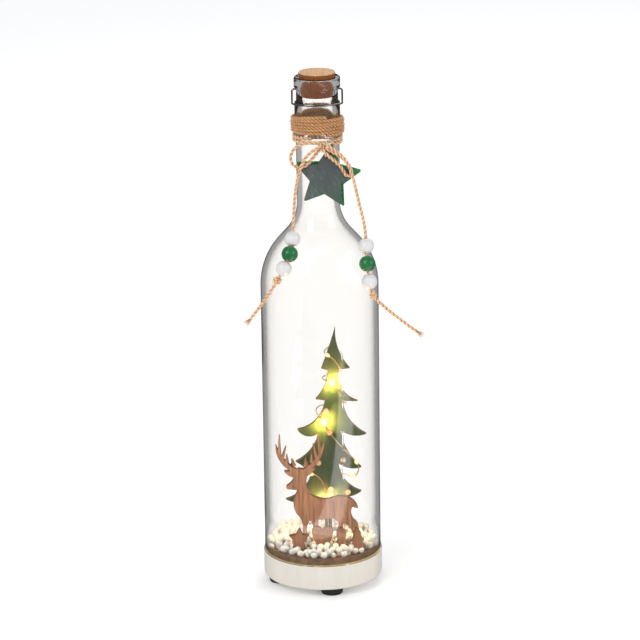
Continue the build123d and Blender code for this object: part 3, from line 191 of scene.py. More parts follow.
# Base: a turned disc of board, sprayed white, with the grain faint under the paint. A thin brown line shows
# where the paint ends at its top edge.
def mixed(tree, factor, first, second):
    """Two colours mixed by a factor."""
    return result(tree, "ShaderNodeMix", {0: factor, 6: first, 7: second}, data_type="RGBA")


def ranged(tree, value, low, high, to_low=0.0, to_high=1.0):
    """A value taken from one range to another, and held there."""
    inputs = {"Value": value, "From Min": low, "From Max": high, "To Min": to_low, "To Max": to_high}
    return result(tree, "ShaderNodeMapRange", inputs)


def vector_math(tree, operation, first, second=(0.0, 0.0, 0.0)):
    """One step of arithmetic on vectors."""
    return result(tree, "ShaderNodeVectorMath", {0: first, 1: second}, operation=operation)


def weighed(tree, first, first_share, second, second_share):
    """Two values added by their shares."""
    return math_node(tree, "ADD", times(tree, first, first_share), times(tree, second, second_share))


def split(tree, vector):
    """A vector's parts along X, Y and Z."""
    return add(tree, "ShaderNodeSeparateXYZ", {"Vector": vector}).outputs


def from_axis(tree, place):
    """How far a place is from the bottle's axis."""
    return vector_math(tree, "LENGTH", vector_math(tree, "MULTIPLY", place, (1, 1, 0)))


tree, given, out = new_group(
    "wood grain",
    "ShaderNodeTree",
    {"Vector": "Vector", "Light": "Color", "Dark": "Color", "Ring Scale": "Float", "Pore Scale": "Float"},
    {"Colour": "Color", "Pores": "Float"},
)
rings = noise(tree, vector_math(tree, "MULTIPLY", given["Vector"], (1.0, 1.0, 0.07)), given["Ring Scale"], 3.0, 0.55)
pores = noise(tree, vector_math(tree, "MULTIPLY", given["Vector"], (1.0, 1.0, 0.05)), given["Pore Scale"])
grain_share = ranged(tree, weighed(tree, rings, 0.7, pores, 0.4), 0.38, 0.74)
colour = mixed(tree, grain_share, given["Dark"], given["Light"])
grain_group = finish_group(tree, out, {"Colour": colour, "Pores": pores})


def grained(tree, vector, light, dark, ring_scale, pore_scale):
    """The wood grain in a material."""
    inputs = {"Vector": vector, "Light": light, "Dark": dark, "Ring Scale": ring_scale, "Pore Scale": pore_scale}
    return add(tree, "ShaderNodeGroup", inputs, node_tree=grain_group).outputs


BARE_EDGE_HEIGHTS = (0.02085, 0.02105)
BARE_EDGE_RADII = (0.0366, 0.0370)
material, tree, shader, _ = new_material("white_base_paint", Roughness=0.4, Coat_Weight=0.15, Coat_Roughness=0.3)
where = object_place(tree)
wood = grained(tree, where, (0.77, 0.74, 0.685), (0.70, 0.665, 0.60), 90.0, 1400.0)
edge_high = ranged(tree, split(tree, where)["Z"], *BARE_EDGE_HEIGHTS)
edge_out = ranged(tree, from_axis(tree, where), *BARE_EDGE_RADII)
edge_wear = ranged(tree, noise(tree, where, 260.0, 3.0), 0.3, 0.45)
edge_line = times(tree, times(tree, edge_high, edge_out), edge_wear)
surface(tree, shader, mixed(tree, edge_line, wood["Colour"], (0.23, 0.17, 0.09)), wood["Pores"], 0.08)
finish_nodes(material, "base_block")

# Floor disc: thin board stained dark brown, its grain lying across it. It is glued to the base inside the
# glass and has the slots that the boards stand in.
material, tree, shader, _ = new_material("brown_stain", Roughness=0.6)
lying = result(tree, "ShaderNodeMapping", {"Vector": object_place(tree), "Rotation": (math.pi / 2, 0, 0.4)})
wood = grained(tree, lying, (0.30, 0.17, 0.085), (0.13, 0.066, 0.03), 260.0, 2600.0)
surface(tree, shader, wood["Colour"], wood["Pores"], 0.3)
finish_nodes(material, "floor_disc")


# Boards: the fir, the reindeer and four small cut-outs, laser-cut from thin plywood, stained, and set in the
# floor disc's slots. Their cut edges are burnt dark, and the burn fades over the rim of each face.
def scene_object(name, data, *materials):
    """An object in the scene, with its materials."""
    for material in materials:
        data.materials.append(material)
    made = bpy.data.objects.new(name, data)
    scene.collection.objects.link(made)
    return made


def solid(name, bm, *materials):
    """A mesh object from faces that may still be inside out."""
    bmesh.ops.recalc_face_normals(bm, faces=bm.faces)
    mesh = bpy.data.meshes.new(name)
    bm.to_mesh(mesh)
    bm.free()
    return scene_object(name, mesh, *materials)


def dress(piece, node, body="lamp"):
    """Puts a piece in the place of its CAD node."""
    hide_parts(node)
    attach(piece, body)


def bridge(bm, lower, upper):
    """Faces between two rings of corners, one of which may be a single corner."""
    for corners in zip(lower, lower[1:] + lower[:1], upper[1:] + upper[:1], upper):
        corners = list(dict.fromkeys(corners))
        if len(corners) > 2:
            bm.faces.new(corners)


def attribute(tree, name, output="Fac"):
    """A value that the mesh carries."""
    return add(tree, "ShaderNodeAttribute", attribute_name=name).outputs[output]


def face_outlines(mesh):
    """The closed outlines of a board's front face, each with the wood on its left, and the two faces' depths."""
    bm = bmesh.new()
    bm.from_mesh(mesh)
    bmesh.ops.remove_doubles(bm, verts=bm.verts, dist=2e-6)
    front_faces = {face for face in bm.faces if face.normal.y < -0.9}
    following = {}
    for face in front_faces:
        for corner in face.loops:
            if sum(near in front_faces for near in corner.edge.link_faces) == 1:
                following[corner.vert] = corner.link_loop_next.vert
    outlines = []
    while following:
        walk, here = [], next(iter(following))
        while here in following:
            walk.append((here.co.x, here.co.z))
            here = following.pop(here)
        outlines.append(walk)
    depths = [vertex.co.y for vertex in bm.verts]
    bm.free()
    return outlines, min(depths), max(depths)


def thickness_at(outlines, place, way, most):
    """How far the wood reaches from a place on its edge, up to a limit."""
    least = most
    for outline in outlines:
        for index in range(len(outline)):
            first, second = Vector(outline[index - 1]), Vector(outline[index])
            along, gap = second - first, first - place
            cross = way.x * along.y - way.y * along.x
            if min(gap.length, (second - place).length) < 1e-7 or abs(cross) < 1e-12:
                continue
            far = (gap.x * along.y - gap.y * along.x) / cross
            share = (gap.x * way.y - gap.y * way.x) / cross
            if 0 < far < least and -0.01 <= share <= 1.01:
                least = far
    return least


def inward(outlines, outline, index, distance):
    """A corner of an outline moved into the wood, no further than a part of the wood's width there."""
    before, here, after = (Vector(outline[(index + k) % len(outline)]) for k in (-1, 0, 1))
    first, second = (here - before).normalized(), (after - here).normalized()
    first_left = Vector((-first.y, first.x))
    left = first_left + Vector((-second.y, second.x))
    left = left.normalized() if left.length > 1e-6 else first_left
    lean = max(0.5, left.dot(first_left))
    wide = thickness_at(outlines, here, left, distance * 6)
    return here + left * min(distance / lean, wide * 0.3)


def cut_board(node, rim, material):
    """A board with its CAD outline, whose faces have a narrow rim for the burnt edge."""
    outlines, *depths = face_outlines(nodes[node].data)
    bm = bmesh.new()
    burn = bm.verts.layers.float.new("burn")
    edge_rings = []
    for depth in depths:
        fill_edges = []
        for outline in outlines:
            edge_ring = [bm.verts.new((x, depth, z)) for x, z in outline]
            inner_places = [inward(outlines, outline, index, rim) for index in range(len(outline))]
            inner_ring = [bm.verts.new((place.x, depth, place.y)) for place in inner_places]
            edge_rings.append(edge_ring)
            for vertex in edge_ring:
                vertex[burn] = 1.0
            bridge(bm, edge_ring, inner_ring)
            fill_edges += [bm.edges.get(pair) for pair in zip(inner_ring, inner_ring[1:] + inner_ring[:1])]
        bmesh.ops.triangle_fill(bm, use_beauty=True, edges=fill_edges, normal=(0, -1, 0))
    half = len(edge_rings) // 2
    for front_ring, back_ring in zip(edge_rings[:half], edge_rings[half:]):
        bridge(bm, back_ring, front_ring)
    return solid(f"{node}_board", bm, material)


def board_material(name, light, dark, burnt, ring_scale):
    """Stained board with grain up and down, darkened toward its cut edges."""
    material, tree, shader, _ = new_material(name, Roughness=0.6)
    where = object_place(tree)
    wood = grained(tree, where, light, dark, ring_scale, 2800.0)
    ragged = weighed(tree, attribute(tree, "burn"), 1.0, noise(tree, where, 900.0, 3.0), 0.35)
    char = ranged(tree, ragged, 0.45, 1.15)
    surface(tree, shader, mixed(tree, char, wood["Colour"], burnt), wood["Pores"], 0.35)
    return material


for names, slot_name, rim, values in (
    (
        ["fir_tree"],
        "green_stain",
        0.0007,
        ("green_stain", (0.062, 0.115, 0.04), (0.022, 0.05, 0.016), (0.11, 0.06, 0.025), 320.0),
    ),
    (
        ["reindeer"],
        "brown_board",
        0.0004,
        ("deer_stain", (0.68, 0.35, 0.19), (0.25, 0.10, 0.045), (0.075, 0.035, 0.02), 520.0),
    ),
    (
        ["cutout_star", "cutout_heart", "cutout_bell", "cutout_fir"],
        "brown_board",
        0.0004,
        ("cutout_stain", (0.47, 0.23, 0.115), (0.26, 0.115, 0.055), (0.08, 0.035, 0.02), 520.0),
    ),
):
    material = board_material(*values)
    for node in names:
        dress(cut_board(node, rim, material), node)


# Branch slices: six thin rounds sawn from a branch, the bark left on, glued to the front of the fir.
# Each is a little out of round, with growth rings on its sanded face.
def metres(points):
    """Points given in millimetres, in metres."""
    return [Vector(point) / 1000 for point in points]


SLICE_PLACES = metres([
    (3.04, 1.5, 112.49), (5.29, 1.5, 98.29), (13.62, 1.5, 79.79), (-2.15, 1.5, 78.07), (5.61, 1.5, 60.29),
    (16.61, 1.5, 58.0),
])
SLICE_RADIUS, SLICE_THICKNESS, SLICE_SIDES, SLICE_WOBBLE = 0.00205, 0.0015, 20, 0.07
SLICE_LOOPS = (
    (0.0, 1.0), (SLICE_THICKNESS * 0.85, 1.0), (SLICE_THICKNESS, 0.94), (SLICE_THICKNESS, 0.6), (SLICE_THICKNESS, 0.3)
)
material, tree, shader, _ = new_material("slice_wood", Roughness=0.7)
share = attribute(tree, "ring")
uneven = weighed(tree, share, 1.0, noise(tree, object_place(tree), 500.0), 0.2)
ring_wave = math_node(tree, "SINE", times(tree, uneven, 34.0))
wood_tone = mixed(tree, ranged(tree, ring_wave, -1.0, 1.0), (0.78, 0.56, 0.34), (0.92, 0.76, 0.52))
barked = mixed(tree, ranged(tree, share, 0.86, 0.95), wood_tone, (0.16, 0.085, 0.04))
surface(tree, shader, barked, ring_wave, 0.25)
pick = random.Random(31)
bm = bmesh.new()
ring_layer = bm.verts.layers.float.new("ring")
for centre in SLICE_PLACES:
    wobble = [1 - SLICE_WOBBLE * pick.random() for _ in range(SLICE_SIDES)]
    rings = []
    for depth, share_out in SLICE_LOOPS:
        ring = []
        for index in range(SLICE_SIDES):
            angle = math.tau * index / SLICE_SIDES
            reach = SLICE_RADIUS * share_out * wobble[index]
            vertex = bm.verts.new(centre + Vector((reach * math.cos(angle), -depth, reach * math.sin(angle))))
            vertex[ring_layer] = share_out if share_out < 0.9 else 1.0
            ring.append(vertex)
        rings.append(ring)
    rings.append([bm.verts.new(centre + Vector((0, -SLICE_THICKNESS, 0)))] * SLICE_SIDES)
    for lower, upper in zip(rings, rings[1:]):
        bridge(bm, lower, upper)
    bm.faces.new(rings[0][::-1])
dress(solid("tree_slices", bm, material), "tree_discs")


# String of lights: two thin enamelled copper wires twisted together, with resin drops over the lights. It goes
# from the back of the fir's tip round the branches and down the trunk, through the floor disc to the switch.
def captured(tree, geometry, kind, label, value):
    """Geometry that carries a value measured on it."""
    node = add(tree, "GeometryNodeCaptureAttribute", {"Geometry": geometry}, domain="POINT")
    node.capture_items.new(kind, label)
    feed(tree, node.inputs[label], value)
    return node.outputs


def stored(tree, geometry, kind, label, value):
    """Geometry with a value stored on it for its material."""
    inputs = {"Geometry": geometry, "Name": label, "Value": value}
    return result(tree, "GeometryNodeStoreNamedAttribute", inputs, data_type=kind, domain="POINT")


def in_turns(tree, value, whole):
    """A part of a whole as an angle."""
    return times(tree, math_node(tree, "DIVIDE", value, whole), math.tau)


def finish_geometry(tree, out, geometry, material):
    """Makes instances real, gives them a material and feeds the tree's output."""
    real = result(tree, "GeometryNodeRealizeInstances", {"Geometry": geometry})
    dressed = result(tree, "GeometryNodeSetMaterial", {"Geometry": real, "Material": material})
    return finish_group(tree, out, {"Geometry": dressed})


# Each ply is a tube that spirals round the rope's line, and the loose fibres stand off the plies.
STEPS_A_PITCH = 12.0
FIBRE_RADIUS = 0.035
FIBRE_LEAN = (1.3, 1.3, 3.2)
tree, given, out = new_group(
    "laid rope",
    "GeometryNodeTree",
    {
        "Geometry": "Geometry",
        "Plies": "Int",
        "Ply Radius": "Float",
        "Lay Radius": "Float",
        "Pitch": "Float",
        "Sides": "Int",
        "Fibre Density": "Float",
        "Fibre Length": "Float",
        "Seed": "Int",
        "Fuzz": "Bool",
        "Material": "Material",
    },
    {"Geometry": "Geometry"},
)
step = math_node(tree, "DIVIDE", given["Pitch"], STEPS_A_PITCH)
line = result(tree, "GeometryNodeResampleCurve", {"Curve": given["Geometry"], "Length": step}, mode="LENGTH")
inputs = {"Geometry": line, "Amount": given["Plies"]}
copies = add(tree, "GeometryNodeDuplicateElements", inputs, domain="SPLINE").outputs
along = add(tree, "GeometryNodeSplineParameter").outputs["Length"]
start = in_turns(tree, copies["Duplicate Index"], given["Plies"])
angle = math_node(tree, "ADD", in_turns(tree, along, given["Pitch"]), start)
normal = result(tree, "GeometryNodeInputNormal")
side = vector_math(tree, "CROSS_PRODUCT", result(tree, "GeometryNodeInputTangent"), normal)
out_part = scaled(tree, normal, math_node(tree, "COSINE", angle))
side_part = scaled(tree, side, math_node(tree, "SINE", angle))
outward = vector_math(tree, "ADD", out_part, side_part)
facing_out = captured(tree, copies["Geometry"], "VECTOR", "Outward", outward)
inputs = {"Geometry": facing_out["Geometry"], "Offset": scaled(tree, outward, given["Lay Radius"])}
ply_line = captured(tree, result(tree, "GeometryNodeSetPosition", inputs), "FLOAT", "Along", along)
inputs = {"Resolution": given["Sides"], "Radius": given["Ply Radius"]}
ring = result(tree, "GeometryNodeCurvePrimitiveCircle", inputs, mode="RADIUS")
ply_ring = captured(tree, ring, "VECTOR", "Place", result(tree, "GeometryNodeInputPosition"))
inputs = {"Curve": ply_line["Geometry"], "Profile Curve": ply_ring["Geometry"], "Fill Caps": True}
plies = result(tree, "GeometryNodeCurveToMesh", inputs)
smooth = result(tree, "GeometryNodeSetShadeSmooth", {"Geometry": plies})
place = split(tree, ply_ring["Place"])
lay = result(tree, "ShaderNodeCombineXYZ", {"X": place["X"], "Y": place["Y"], "Z": ply_line["Along"]})
# The crest says how far the surface faces away from the rope's line; the jute material paints shade between the plies
# with it.
crest = vector_math(tree, "DOT_PRODUCT", facing_out["Outward"], result(tree, "GeometryNodeInputNormal"))
marked = stored(tree, stored(tree, smooth, "FLOAT_VECTOR", "lay", lay), "FLOAT", "crest", crest)
inputs = {"Mesh": smooth, "Density": given["Fibre Density"], "Seed": given["Seed"]}
roots = add(tree, "GeometryNodeDistributePointsOnFaces", inputs).outputs
line = result(tree, "GeometryNodeCurvePrimitiveLine", {"Start": (0, 0, 0), "End": (0, 0, 1)}, mode="POINTS")
ring = result(tree, "GeometryNodeCurvePrimitiveCircle", {"Resolution": 3, "Radius": FIBRE_RADIUS}, mode="RADIUS")
fibre = result(tree, "GeometryNodeCurveToMesh", {"Curve": line, "Profile Curve": ring})
inputs = {0: tuple(-lean for lean in FIBRE_LEAN), 1: FIBRE_LEAN, "Seed": given["Seed"]}
tilt = result(tree, "FunctionNodeRandomValue", inputs, data_type="FLOAT_VECTOR")
inputs = {"Rotation": roots["Rotation"], "Rotate By": tilt}
leaning = result(tree, "FunctionNodeRotateRotation", inputs, rotation_space="LOCAL")
length = result(tree, "FunctionNodeRandomValue", {2: 0.4, 3: 1.0, "Seed": given["Seed"]}, data_type="FLOAT")
length = times(tree, length, given["Fibre Length"])
inputs = {"Points": roots["Points"], "Instance": fibre, "Rotation": leaning, "Scale": length}
fibres = result(tree, "GeometryNodeInstanceOnPoints", inputs)
inputs = {"Switch": given["Fuzz"], "False": marked, "True": fibres}
shown = result(tree, "GeometryNodeSwitch", inputs, input_type="GEOMETRY")
rope_tree = finish_geometry(tree, out, shown, given["Material"])


def spline_curve(name, points):
    """A smooth spline with a route's points as its control points."""
    curve = bpy.data.curves.new(name, "CURVE")
    curve.dimensions = "3D"
    curve.resolution_u = 12
    spline = curve.splines.new("NURBS")
    spline.points.add(len(points) - 1)
    for control, point in zip(spline.points, points):
        control.co = (*point, 1.0)
    spline.order_u = 3
    spline.use_endpoint_u = True
    return scene_object(name, curve)


def evaluated_mesh(obj):
    """An object's shape as Blender works it out."""
    bpy.context.view_layer.update()
    return bpy.data.meshes.new_from_object(obj.evaluated_get(bpy.context.evaluated_depsgraph_get()))


def baked(obj, tree, values):
    """Runs a geometry tree on an object and returns its result as a plain mesh object of the same name."""
    modifier = obj.modifiers.new("nodes", "NODES")
    modifier.node_group = tree
    for item in tree.interface.items_tree:
        if item.item_type == "SOCKET" and item.in_out == "INPUT" and item.name in values:
            modifier[item.identifier] = values[item.name]
    mesh = evaluated_mesh(obj)
    mesh.name = name = obj.name
    bpy.data.objects.remove(obj)
    return scene_object(name, mesh)


PLY_SHARE, LAY_SHARE = 0.64, 0.48


def rope(name, points, diameter, pitch, material, seed, fibres=4e5, fibre_length=0.0016, sides=8):
    """A two-ply twist along a route, and the loose fibres on it as a piece of their own."""
    values = {
        "Plies": 2,
        "Ply Radius": diameter / 2 * PLY_SHARE,
        "Lay Radius": diameter / 2 * LAY_SHARE,
        "Pitch": pitch,
        "Sides": sides,
        "Fibre Density": fibres,
        "Fibre Length": fibre_length,
        "Seed": seed,
        "Material": material,
    }
    twisted = baked(spline_curve(name, points), rope_tree, values)
    if fibres == 0:
        return twisted, None
    return twisted, baked(spline_curve(f"{name}_fuzz", points), rope_tree, {**values, "Fuzz": True})


def fixed_rope(name, node, points, slot_name, *values, **more):
    """A rope or wire that is wound or tied in place, its loose fibres joined to it."""
    piece, fuzz = rope(name, points, *values, **more)
    if fuzz is not None:
        bm = bmesh.new()
        bm.from_mesh(piece.data)
        bm.from_mesh(fuzz.data)
        bpy.data.objects.remove(fuzz)
        bm.to_mesh(piece.data)
        bm.free()
    dress(piece, node)


LED_ROUTE = metres([
    (9.6, 6.1, 157.6), (5.2, 6.2, 154.0), (2.4, 6.0, 151.8), (2.4, 0.0, 151.8), (6.6, -0.1, 149.2),
    (10.2, -0.1, 145.6), (13.8, 0.0, 138.4), (13.8, 6.0, 138.4), (8.4, 6.1, 137.0),
    (1.2, 6.0, 134.6), (1.2, 0.0, 134.6), (6.4, -0.1, 132.4), (10.4, -0.1, 126.6),
    (16.4, 0.0, 117.2), (16.4, 6.0, 117.2), (8.4, 6.1, 116.2), (-0.4, 6.0, 115.2),
    (-3.2, 5.8, 113.4), (-3.2, 0.0, 112.2), (0.6, -0.3, 107.0), (5.2, -0.9, 98.6),
    (12.6, -0.3, 88.9), (20.2, -0.1, 81.4), (24.2, 0.0, 75.4), (22.4, -0.1, 69.2),
    (17.4, 0.0, 69.0), (13.2, 0.0, 71.6), (13.2, 6.0, 71.6), (3.4, 6.1, 74.6), (-9.6, 6.0, 70.4),
    (-9.6, 0.0, 70.4), (-4.4, -0.1, 70.8), (0.6, -0.1, 65.6), (2.4, -0.1, 57.4),
    (3.2, -0.2, 47.6), (3.6, -0.7, 37.4), (3.6, -0.9, 29.2),
    (3.6, -0.9, 21.7), (22.65, -15.28, 21.7), (22.65, -15.28, 10.4),
])
copper = mottled("enamelled_copper", (0.80, 0.56, 0.25), 0.3, 2000.0, 0.15, 0.05, Metallic=0.9)
fixed_rope("led_wire_pair", "led_wire", LED_ROUTE, "led_copper", 0.0008, 0.0048, copper, 2, fibres=0, sides=5)

# The drops sit on these runs of the wire, halfway along, or as far along as the two bright ones say. The drop
# on the trunk is bright too, low behind the reindeer.
DROP_RUNS = (3, 11, 19, 22, 24, 30, 33, 8, 15, 28)
TRUNK_RUN = 33
BRIGHT_RUNS = {11: 0.15, 19: 0.2, TRUNK_RUN: 0.5}
DROP_RADIUS, DROP_STRETCH, DROP_UNEVEN = 0.0012, 1.42, 0.04
BRIGHT, DIM, LOW = range(3)


def lit_resin(name, colour, strength):
    """A resin drop with its light on, brightest at its core."""
    material, tree, shader, _ = new_material(
        name, Base_Color=(1.0, 0.86, 0.55), Roughness=0.12, IOR=1.5, Coat_Weight=0.5, Emission_Strength=strength
    )
    facing = add(tree, "ShaderNodeLayerWeight", {"Blend": 0.4}).outputs["Facing"]
    feed(tree, shader.inputs["Emission Color"], mixed(tree, facing, colour, (1.0, 0.62, 0.2)))
    return material


bm = bmesh.new()
for run in DROP_RUNS:
    start_point, end_point = LED_ROUTE[run], LED_ROUTE[run + 1]
    centre = start_point.lerp(end_point, BRIGHT_RUNS.get(run, 0.5))
    turn_to = (end_point - start_point).normalized().to_track_quat("Z", "Y").to_matrix().to_4x4()
    made = bmesh.ops.create_uvsphere(bm, u_segments=20, v_segments=14, radius=DROP_RADIUS)
    for vertex in made["verts"]:
        vertex.co.z *= DROP_STRETCH
        vertex.co *= 1 + DROP_UNEVEN * math.sin(vertex.co.z * 4000 + run)
        vertex.co = Matrix.Translation(centre) @ turn_to @ vertex.co
    for face in {face for vertex in made["verts"] for face in vertex.link_faces}:
        face.material_index = LOW if run == TRUNK_RUN else BRIGHT if run in BRIGHT_RUNS else DIM
        face.smooth = True
drops = solid(
    "led_drops",
    bm,
    lit_resin("resin_bright", (1.0, 0.58, 0.14), 1400.0),
    lit_resin("resin_dim", (1.0, 0.80, 0.42), 0.35),
    lit_resin("resin_low", (1.0, 0.80, 0.42), 900.0),
)
dress(drops, "led_bulbs")


# Snow: loose white foam balls of 3.3 to 5 mm, poured round the boards on the floor disc.
# Each ball rests on those under it, and the bed is about two balls deep.
FLOOR_TOP, SNOW_TOP, SNOW_RADIUS = 0.0253, 0.0315, 0.0341
BALL_SIZES = (0.00165, 0.0025)
PRESSED_SHARE, OVER_LEVEL = 0.96, 0.0006
BOARDS_IN_SNOW = (
    (-0.0029, 0.0104, 0.003, 0.0015), (-0.0295, 0.0229, -0.008, 0.0015), (-0.0216, 0.0267, -0.018, 0.00125)
)
WIRE_PLACE, WIRE_RADIUS = (0.0036, -0.0009), 0.0006
CELL_SIZE = 0.0052
TRIES_A_BALL, MOST_MISSES = 20, 1500
pick = random.Random(7)
cells_made = {}
balls = []


def cell_at(x, y):
    """The square of the floor that a place lies in."""
    return int(x // CELL_SIZE), int(y // CELL_SIZE)


def rest_height(x, y, radius):
    """The height at which a ball dropped there comes to rest."""
    height = FLOOR_TOP + radius
    column, row = cell_at(x, y)
    for near in ((column + right, row + back) for right in (-1, 0, 1) for back in (-1, 0, 1)):
        for other_x, other_y, other_height, other_radius in cells_made.get(near, ()):
            gap = (radius + other_radius) ** 2 - (x - other_x) ** 2 - (y - other_y) ** 2
            if gap > 0:
                height = max(height, other_height + math.sqrt(gap))
    return height


def taken(x, y, radius):
    """Whether a ball there would lie in a board or in the light wire."""
    return math.hypot(x - WIRE_PLACE[0], y - WIRE_PLACE[1]) < radius + WIRE_RADIUS or any(
        left - radius < x < right + radius and abs(y - middle) < half + radius * PRESSED_SHARE
        for left, right, middle, half in BOARDS_IN_SNOW
    )


def snow_level(x, y):
    """How high the snow lies, a little higher in places."""
    reach = math.hypot(x, y) / SNOW_RADIUS
    drift = 0.0007 * math.sin(x * 190 + 0.8) + 0.0006 * math.sin(y * 230 + x * 120)
    return SNOW_TOP + 0.0013 * (1 - reach ** 2) + drift


misses = 0
while misses < MOST_MISSES:
    radius = pick.uniform(*BALL_SIZES)
    best = None
    for _ in range(TRIES_A_BALL):
        reach, angle = (SNOW_RADIUS - radius) * math.sqrt(pick.random()), pick.uniform(0, math.tau)
        x, y = reach * math.cos(angle), reach * math.sin(angle)
        if taken(x, y, radius):
            continue
        height = rest_height(x, y, radius)
        if best is None or height < best[2]:
            best = (x, y, height, radius)
    if best is None or best[2] + radius > snow_level(best[0], best[1]) + OVER_LEVEL:
        misses += 1
        continue
    balls.append(best)
    cells_made.setdefault(cell_at(best[0], best[1]), []).append(best)

tree, given, out = new_group(
    "foam balls", "GeometryNodeTree", {"Geometry": "Geometry", "Material": "Material"}, {"Geometry": "Geometry"}
)
ball = result(tree, "GeometryNodeMeshIcoSphere", {"Radius": 1.0, "Subdivisions": 2})
ball = result(tree, "GeometryNodeSetShadeSmooth", {"Geometry": ball})
size = result(tree, "GeometryNodeInputNamedAttribute", {"Name": "ball"}, data_type="FLOAT")
inputs = {0: (0, 0, 0), 1: (math.tau, math.tau, math.tau), "Seed": 3}
spin = result(tree, "FunctionNodeRandomValue", inputs, data_type="FLOAT_VECTOR")
inputs = {"Points": given["Geometry"], "Instance": ball, "Rotation": spin, "Scale": size}
poured = result(tree, "GeometryNodeInstanceOnPoints", inputs)
ball_tree = finish_geometry(tree, out, poured, given["Material"])

foam, tree, shader, _ = new_material("foam_white", Roughness=0.6)
where = object_place(tree)
cell_marks = result(tree, "ShaderNodeTexVoronoi", {"Vector": where, "Scale": 1500.0})
foam_tone = mixed(tree, noise(tree, where, 240.0), (0.90, 0.90, 0.87), (0.97, 0.97, 0.95))
surface(tree, shader, foam_tone, cell_marks, 0.25)
mesh = bpy.data.meshes.new("snow_balls")
mesh.from_pydata([entry[:3] for entry in balls], [], [])
mesh.attributes.new("ball", "FLOAT", "POINT").data.foreach_set("value", [entry[3] for entry in balls])
dress(baked(scene_object("snow_balls", mesh), ball_tree, {"Material": foam}), "snow_bed")


# Bottle: clear glass blown in a two-part mould, with a collar and a lip at the mouth and two faint seams up its
# sides. Its bottom is cut off, the cut rim is ground round, and it stands on a ring of amber glue.
finish_nodes(mottled("amber_glue", (0.52, 0.45, 0.24), 0.25, 600.0, 0.2, 0.2), "glue_ring")


def arc(centre, radius, start_deg, end_deg, steps):
    """Points on an arc in the plane of an outline."""
    angles = [math.radians(start_deg + (end_deg - start_deg) * index / steps) for index in range(steps + 1)]
    return [(centre[0] + radius * math.cos(a), centre[1] + radius * math.sin(a)) for a in angles]


def lathe(name, outline, segments, material, closed=True):
    """A turned piece from an outline of radius and height."""
    bm = bmesh.new()
    rings = []
    angles = [math.tau * index / segments for index in range(segments)]
    for radius, height in outline:
        if radius < 1e-7:
            rings.append([bm.verts.new((0, 0, height))] * segments)
        else:
            rings.append([bm.verts.new((radius * math.cos(a), radius * math.sin(a), height)) for a in angles])
    for lower, upper in zip(rings, rings[1:] + (rings[:1] if closed else [])):
        bridge(bm, lower, upper)
    for face in bm.faces:
        face.smooth = True
    return solid(name, bm, material)


GLASS_RADIUS, GLASS_WALL = 0.03725, 0.0028
GLASS_BOTTOM, SHOULDER_START = 0.0216, 0.1977
NECK_RADIUS, BORE_RADIUS = 0.0134, 0.0102
SLOPE_DEG, CONVEX_RADIUS, CONCAVE_RADIUS = 42.0, 0.045, 0.0275
FOOT_ROUND, INNER_CHAMFER = 0.0008, 0.0003
SIDE_STEPS = 8
INNER_RADIUS = GLASS_RADIUS - GLASS_WALL


def shoulder(body, neck, convex, concave):
    """The shoulder's outline: an outward arc, a slope and the arc into the neck."""
    slope = math.radians(SLOPE_DEG)
    run = (body - neck - (convex + concave) * (1 - math.cos(slope))) / math.sin(slope)
    points = arc((body - convex, SHOULDER_START), convex, 0, SLOPE_DEG, 14)
    end = (points[-1][0] - run * math.sin(slope), points[-1][1] + run * math.cos(slope))
    centre = (neck + concave, end[1] + concave * math.sin(slope))
    return points + arc(centre, concave, 180 + SLOPE_DEG, 180, 12)


side_heights = [GLASS_BOTTOM + (SHOULDER_START - GLASS_BOTTOM) * k / SIDE_STEPS for k in range(1, SIDE_STEPS)]
outer_shoulder = shoulder(GLASS_RADIUS, NECK_RADIUS, CONVEX_RADIUS, CONCAVE_RADIUS)
inner_shoulder = shoulder(
    INNER_RADIUS, BORE_RADIUS, CONVEX_RADIUS - GLASS_WALL, CONCAVE_RADIUS + NECK_RADIUS - BORE_RADIUS
)
COLLAR_AND_GROOVE = [
    (0.0137, 0.294018), (0.0139, 0.2951), (0.0142, 0.296518), (0.0142, 0.3148), (0.01405, 0.31515),
    (0.0131, 0.3156), (0.0131, 0.3240), (0.0134, 0.32445), (0.01425, 0.3247), (0.01445, 0.3250),
]
MOUTH = [(0.0114, 0.331218), (0.01125, 0.3310), (BORE_RADIUS, 0.3215), (BORE_RADIUS, 0.29)]
glass_outline = [
    *arc((GLASS_RADIUS - FOOT_ROUND, GLASS_BOTTOM + FOOT_ROUND), FOOT_ROUND, -90, 0, 4),
    *((GLASS_RADIUS, height) for height in side_heights),
    *outer_shoulder,
    *COLLAR_AND_GROOVE,
    *arc((0.01345, 0.330218), 0.001, 0, 90, 5),
    *MOUTH,
    *reversed(inner_shoulder),
    *((INNER_RADIUS, height) for height in reversed(side_heights)),
    (INNER_RADIUS, GLASS_BOTTOM + INNER_CHAMFER),
    (INNER_RADIUS + INNER_CHAMFER, GLASS_BOTTOM),
]
SEAM_AZIMUTH, SEAM_HALF_ANGLE = math.radians(21.6), 0.011
material, tree, shader, out = new_material("clear_glass", Roughness=0.0, IOR=1.5, Transmission_Weight=1.0)
where = object_place(tree)
place = split(tree, where)
azimuth = math_node(tree, "ARCTAN2", place["X"], times(tree, place["Y"], -1.0))
from_seam = math_node(tree, "SINE", math_node(tree, "SUBTRACT", azimuth, SEAM_AZIMUTH))
seam = ranged(tree, math_node(tree, "ABSOLUTE", from_seam), 0.0, SEAM_HALF_ANGLE, 1.0, 0.0)
wave = noise(tree, vector_math(tree, "MULTIPLY", where, (1.0, 1.0, 0.5)), 38.0, 1.0)
# Painted shade: the glass turns grey where it is seen edge-on, which draws its outlines as dark lines.
facing = add(tree, "ShaderNodeLayerWeight", {"Blend": 0.5}).outputs["Facing"]
painted_edge_grey = mixed(tree, ranged(tree, facing, 0.62, 1.0), (0.985, 0.99, 0.985), (0.30, 0.335, 0.33))
surface(tree, shader, painted_edge_grey, weighed(tree, seam, 0.11, wave, 0.9), 0.35, 0.0006)
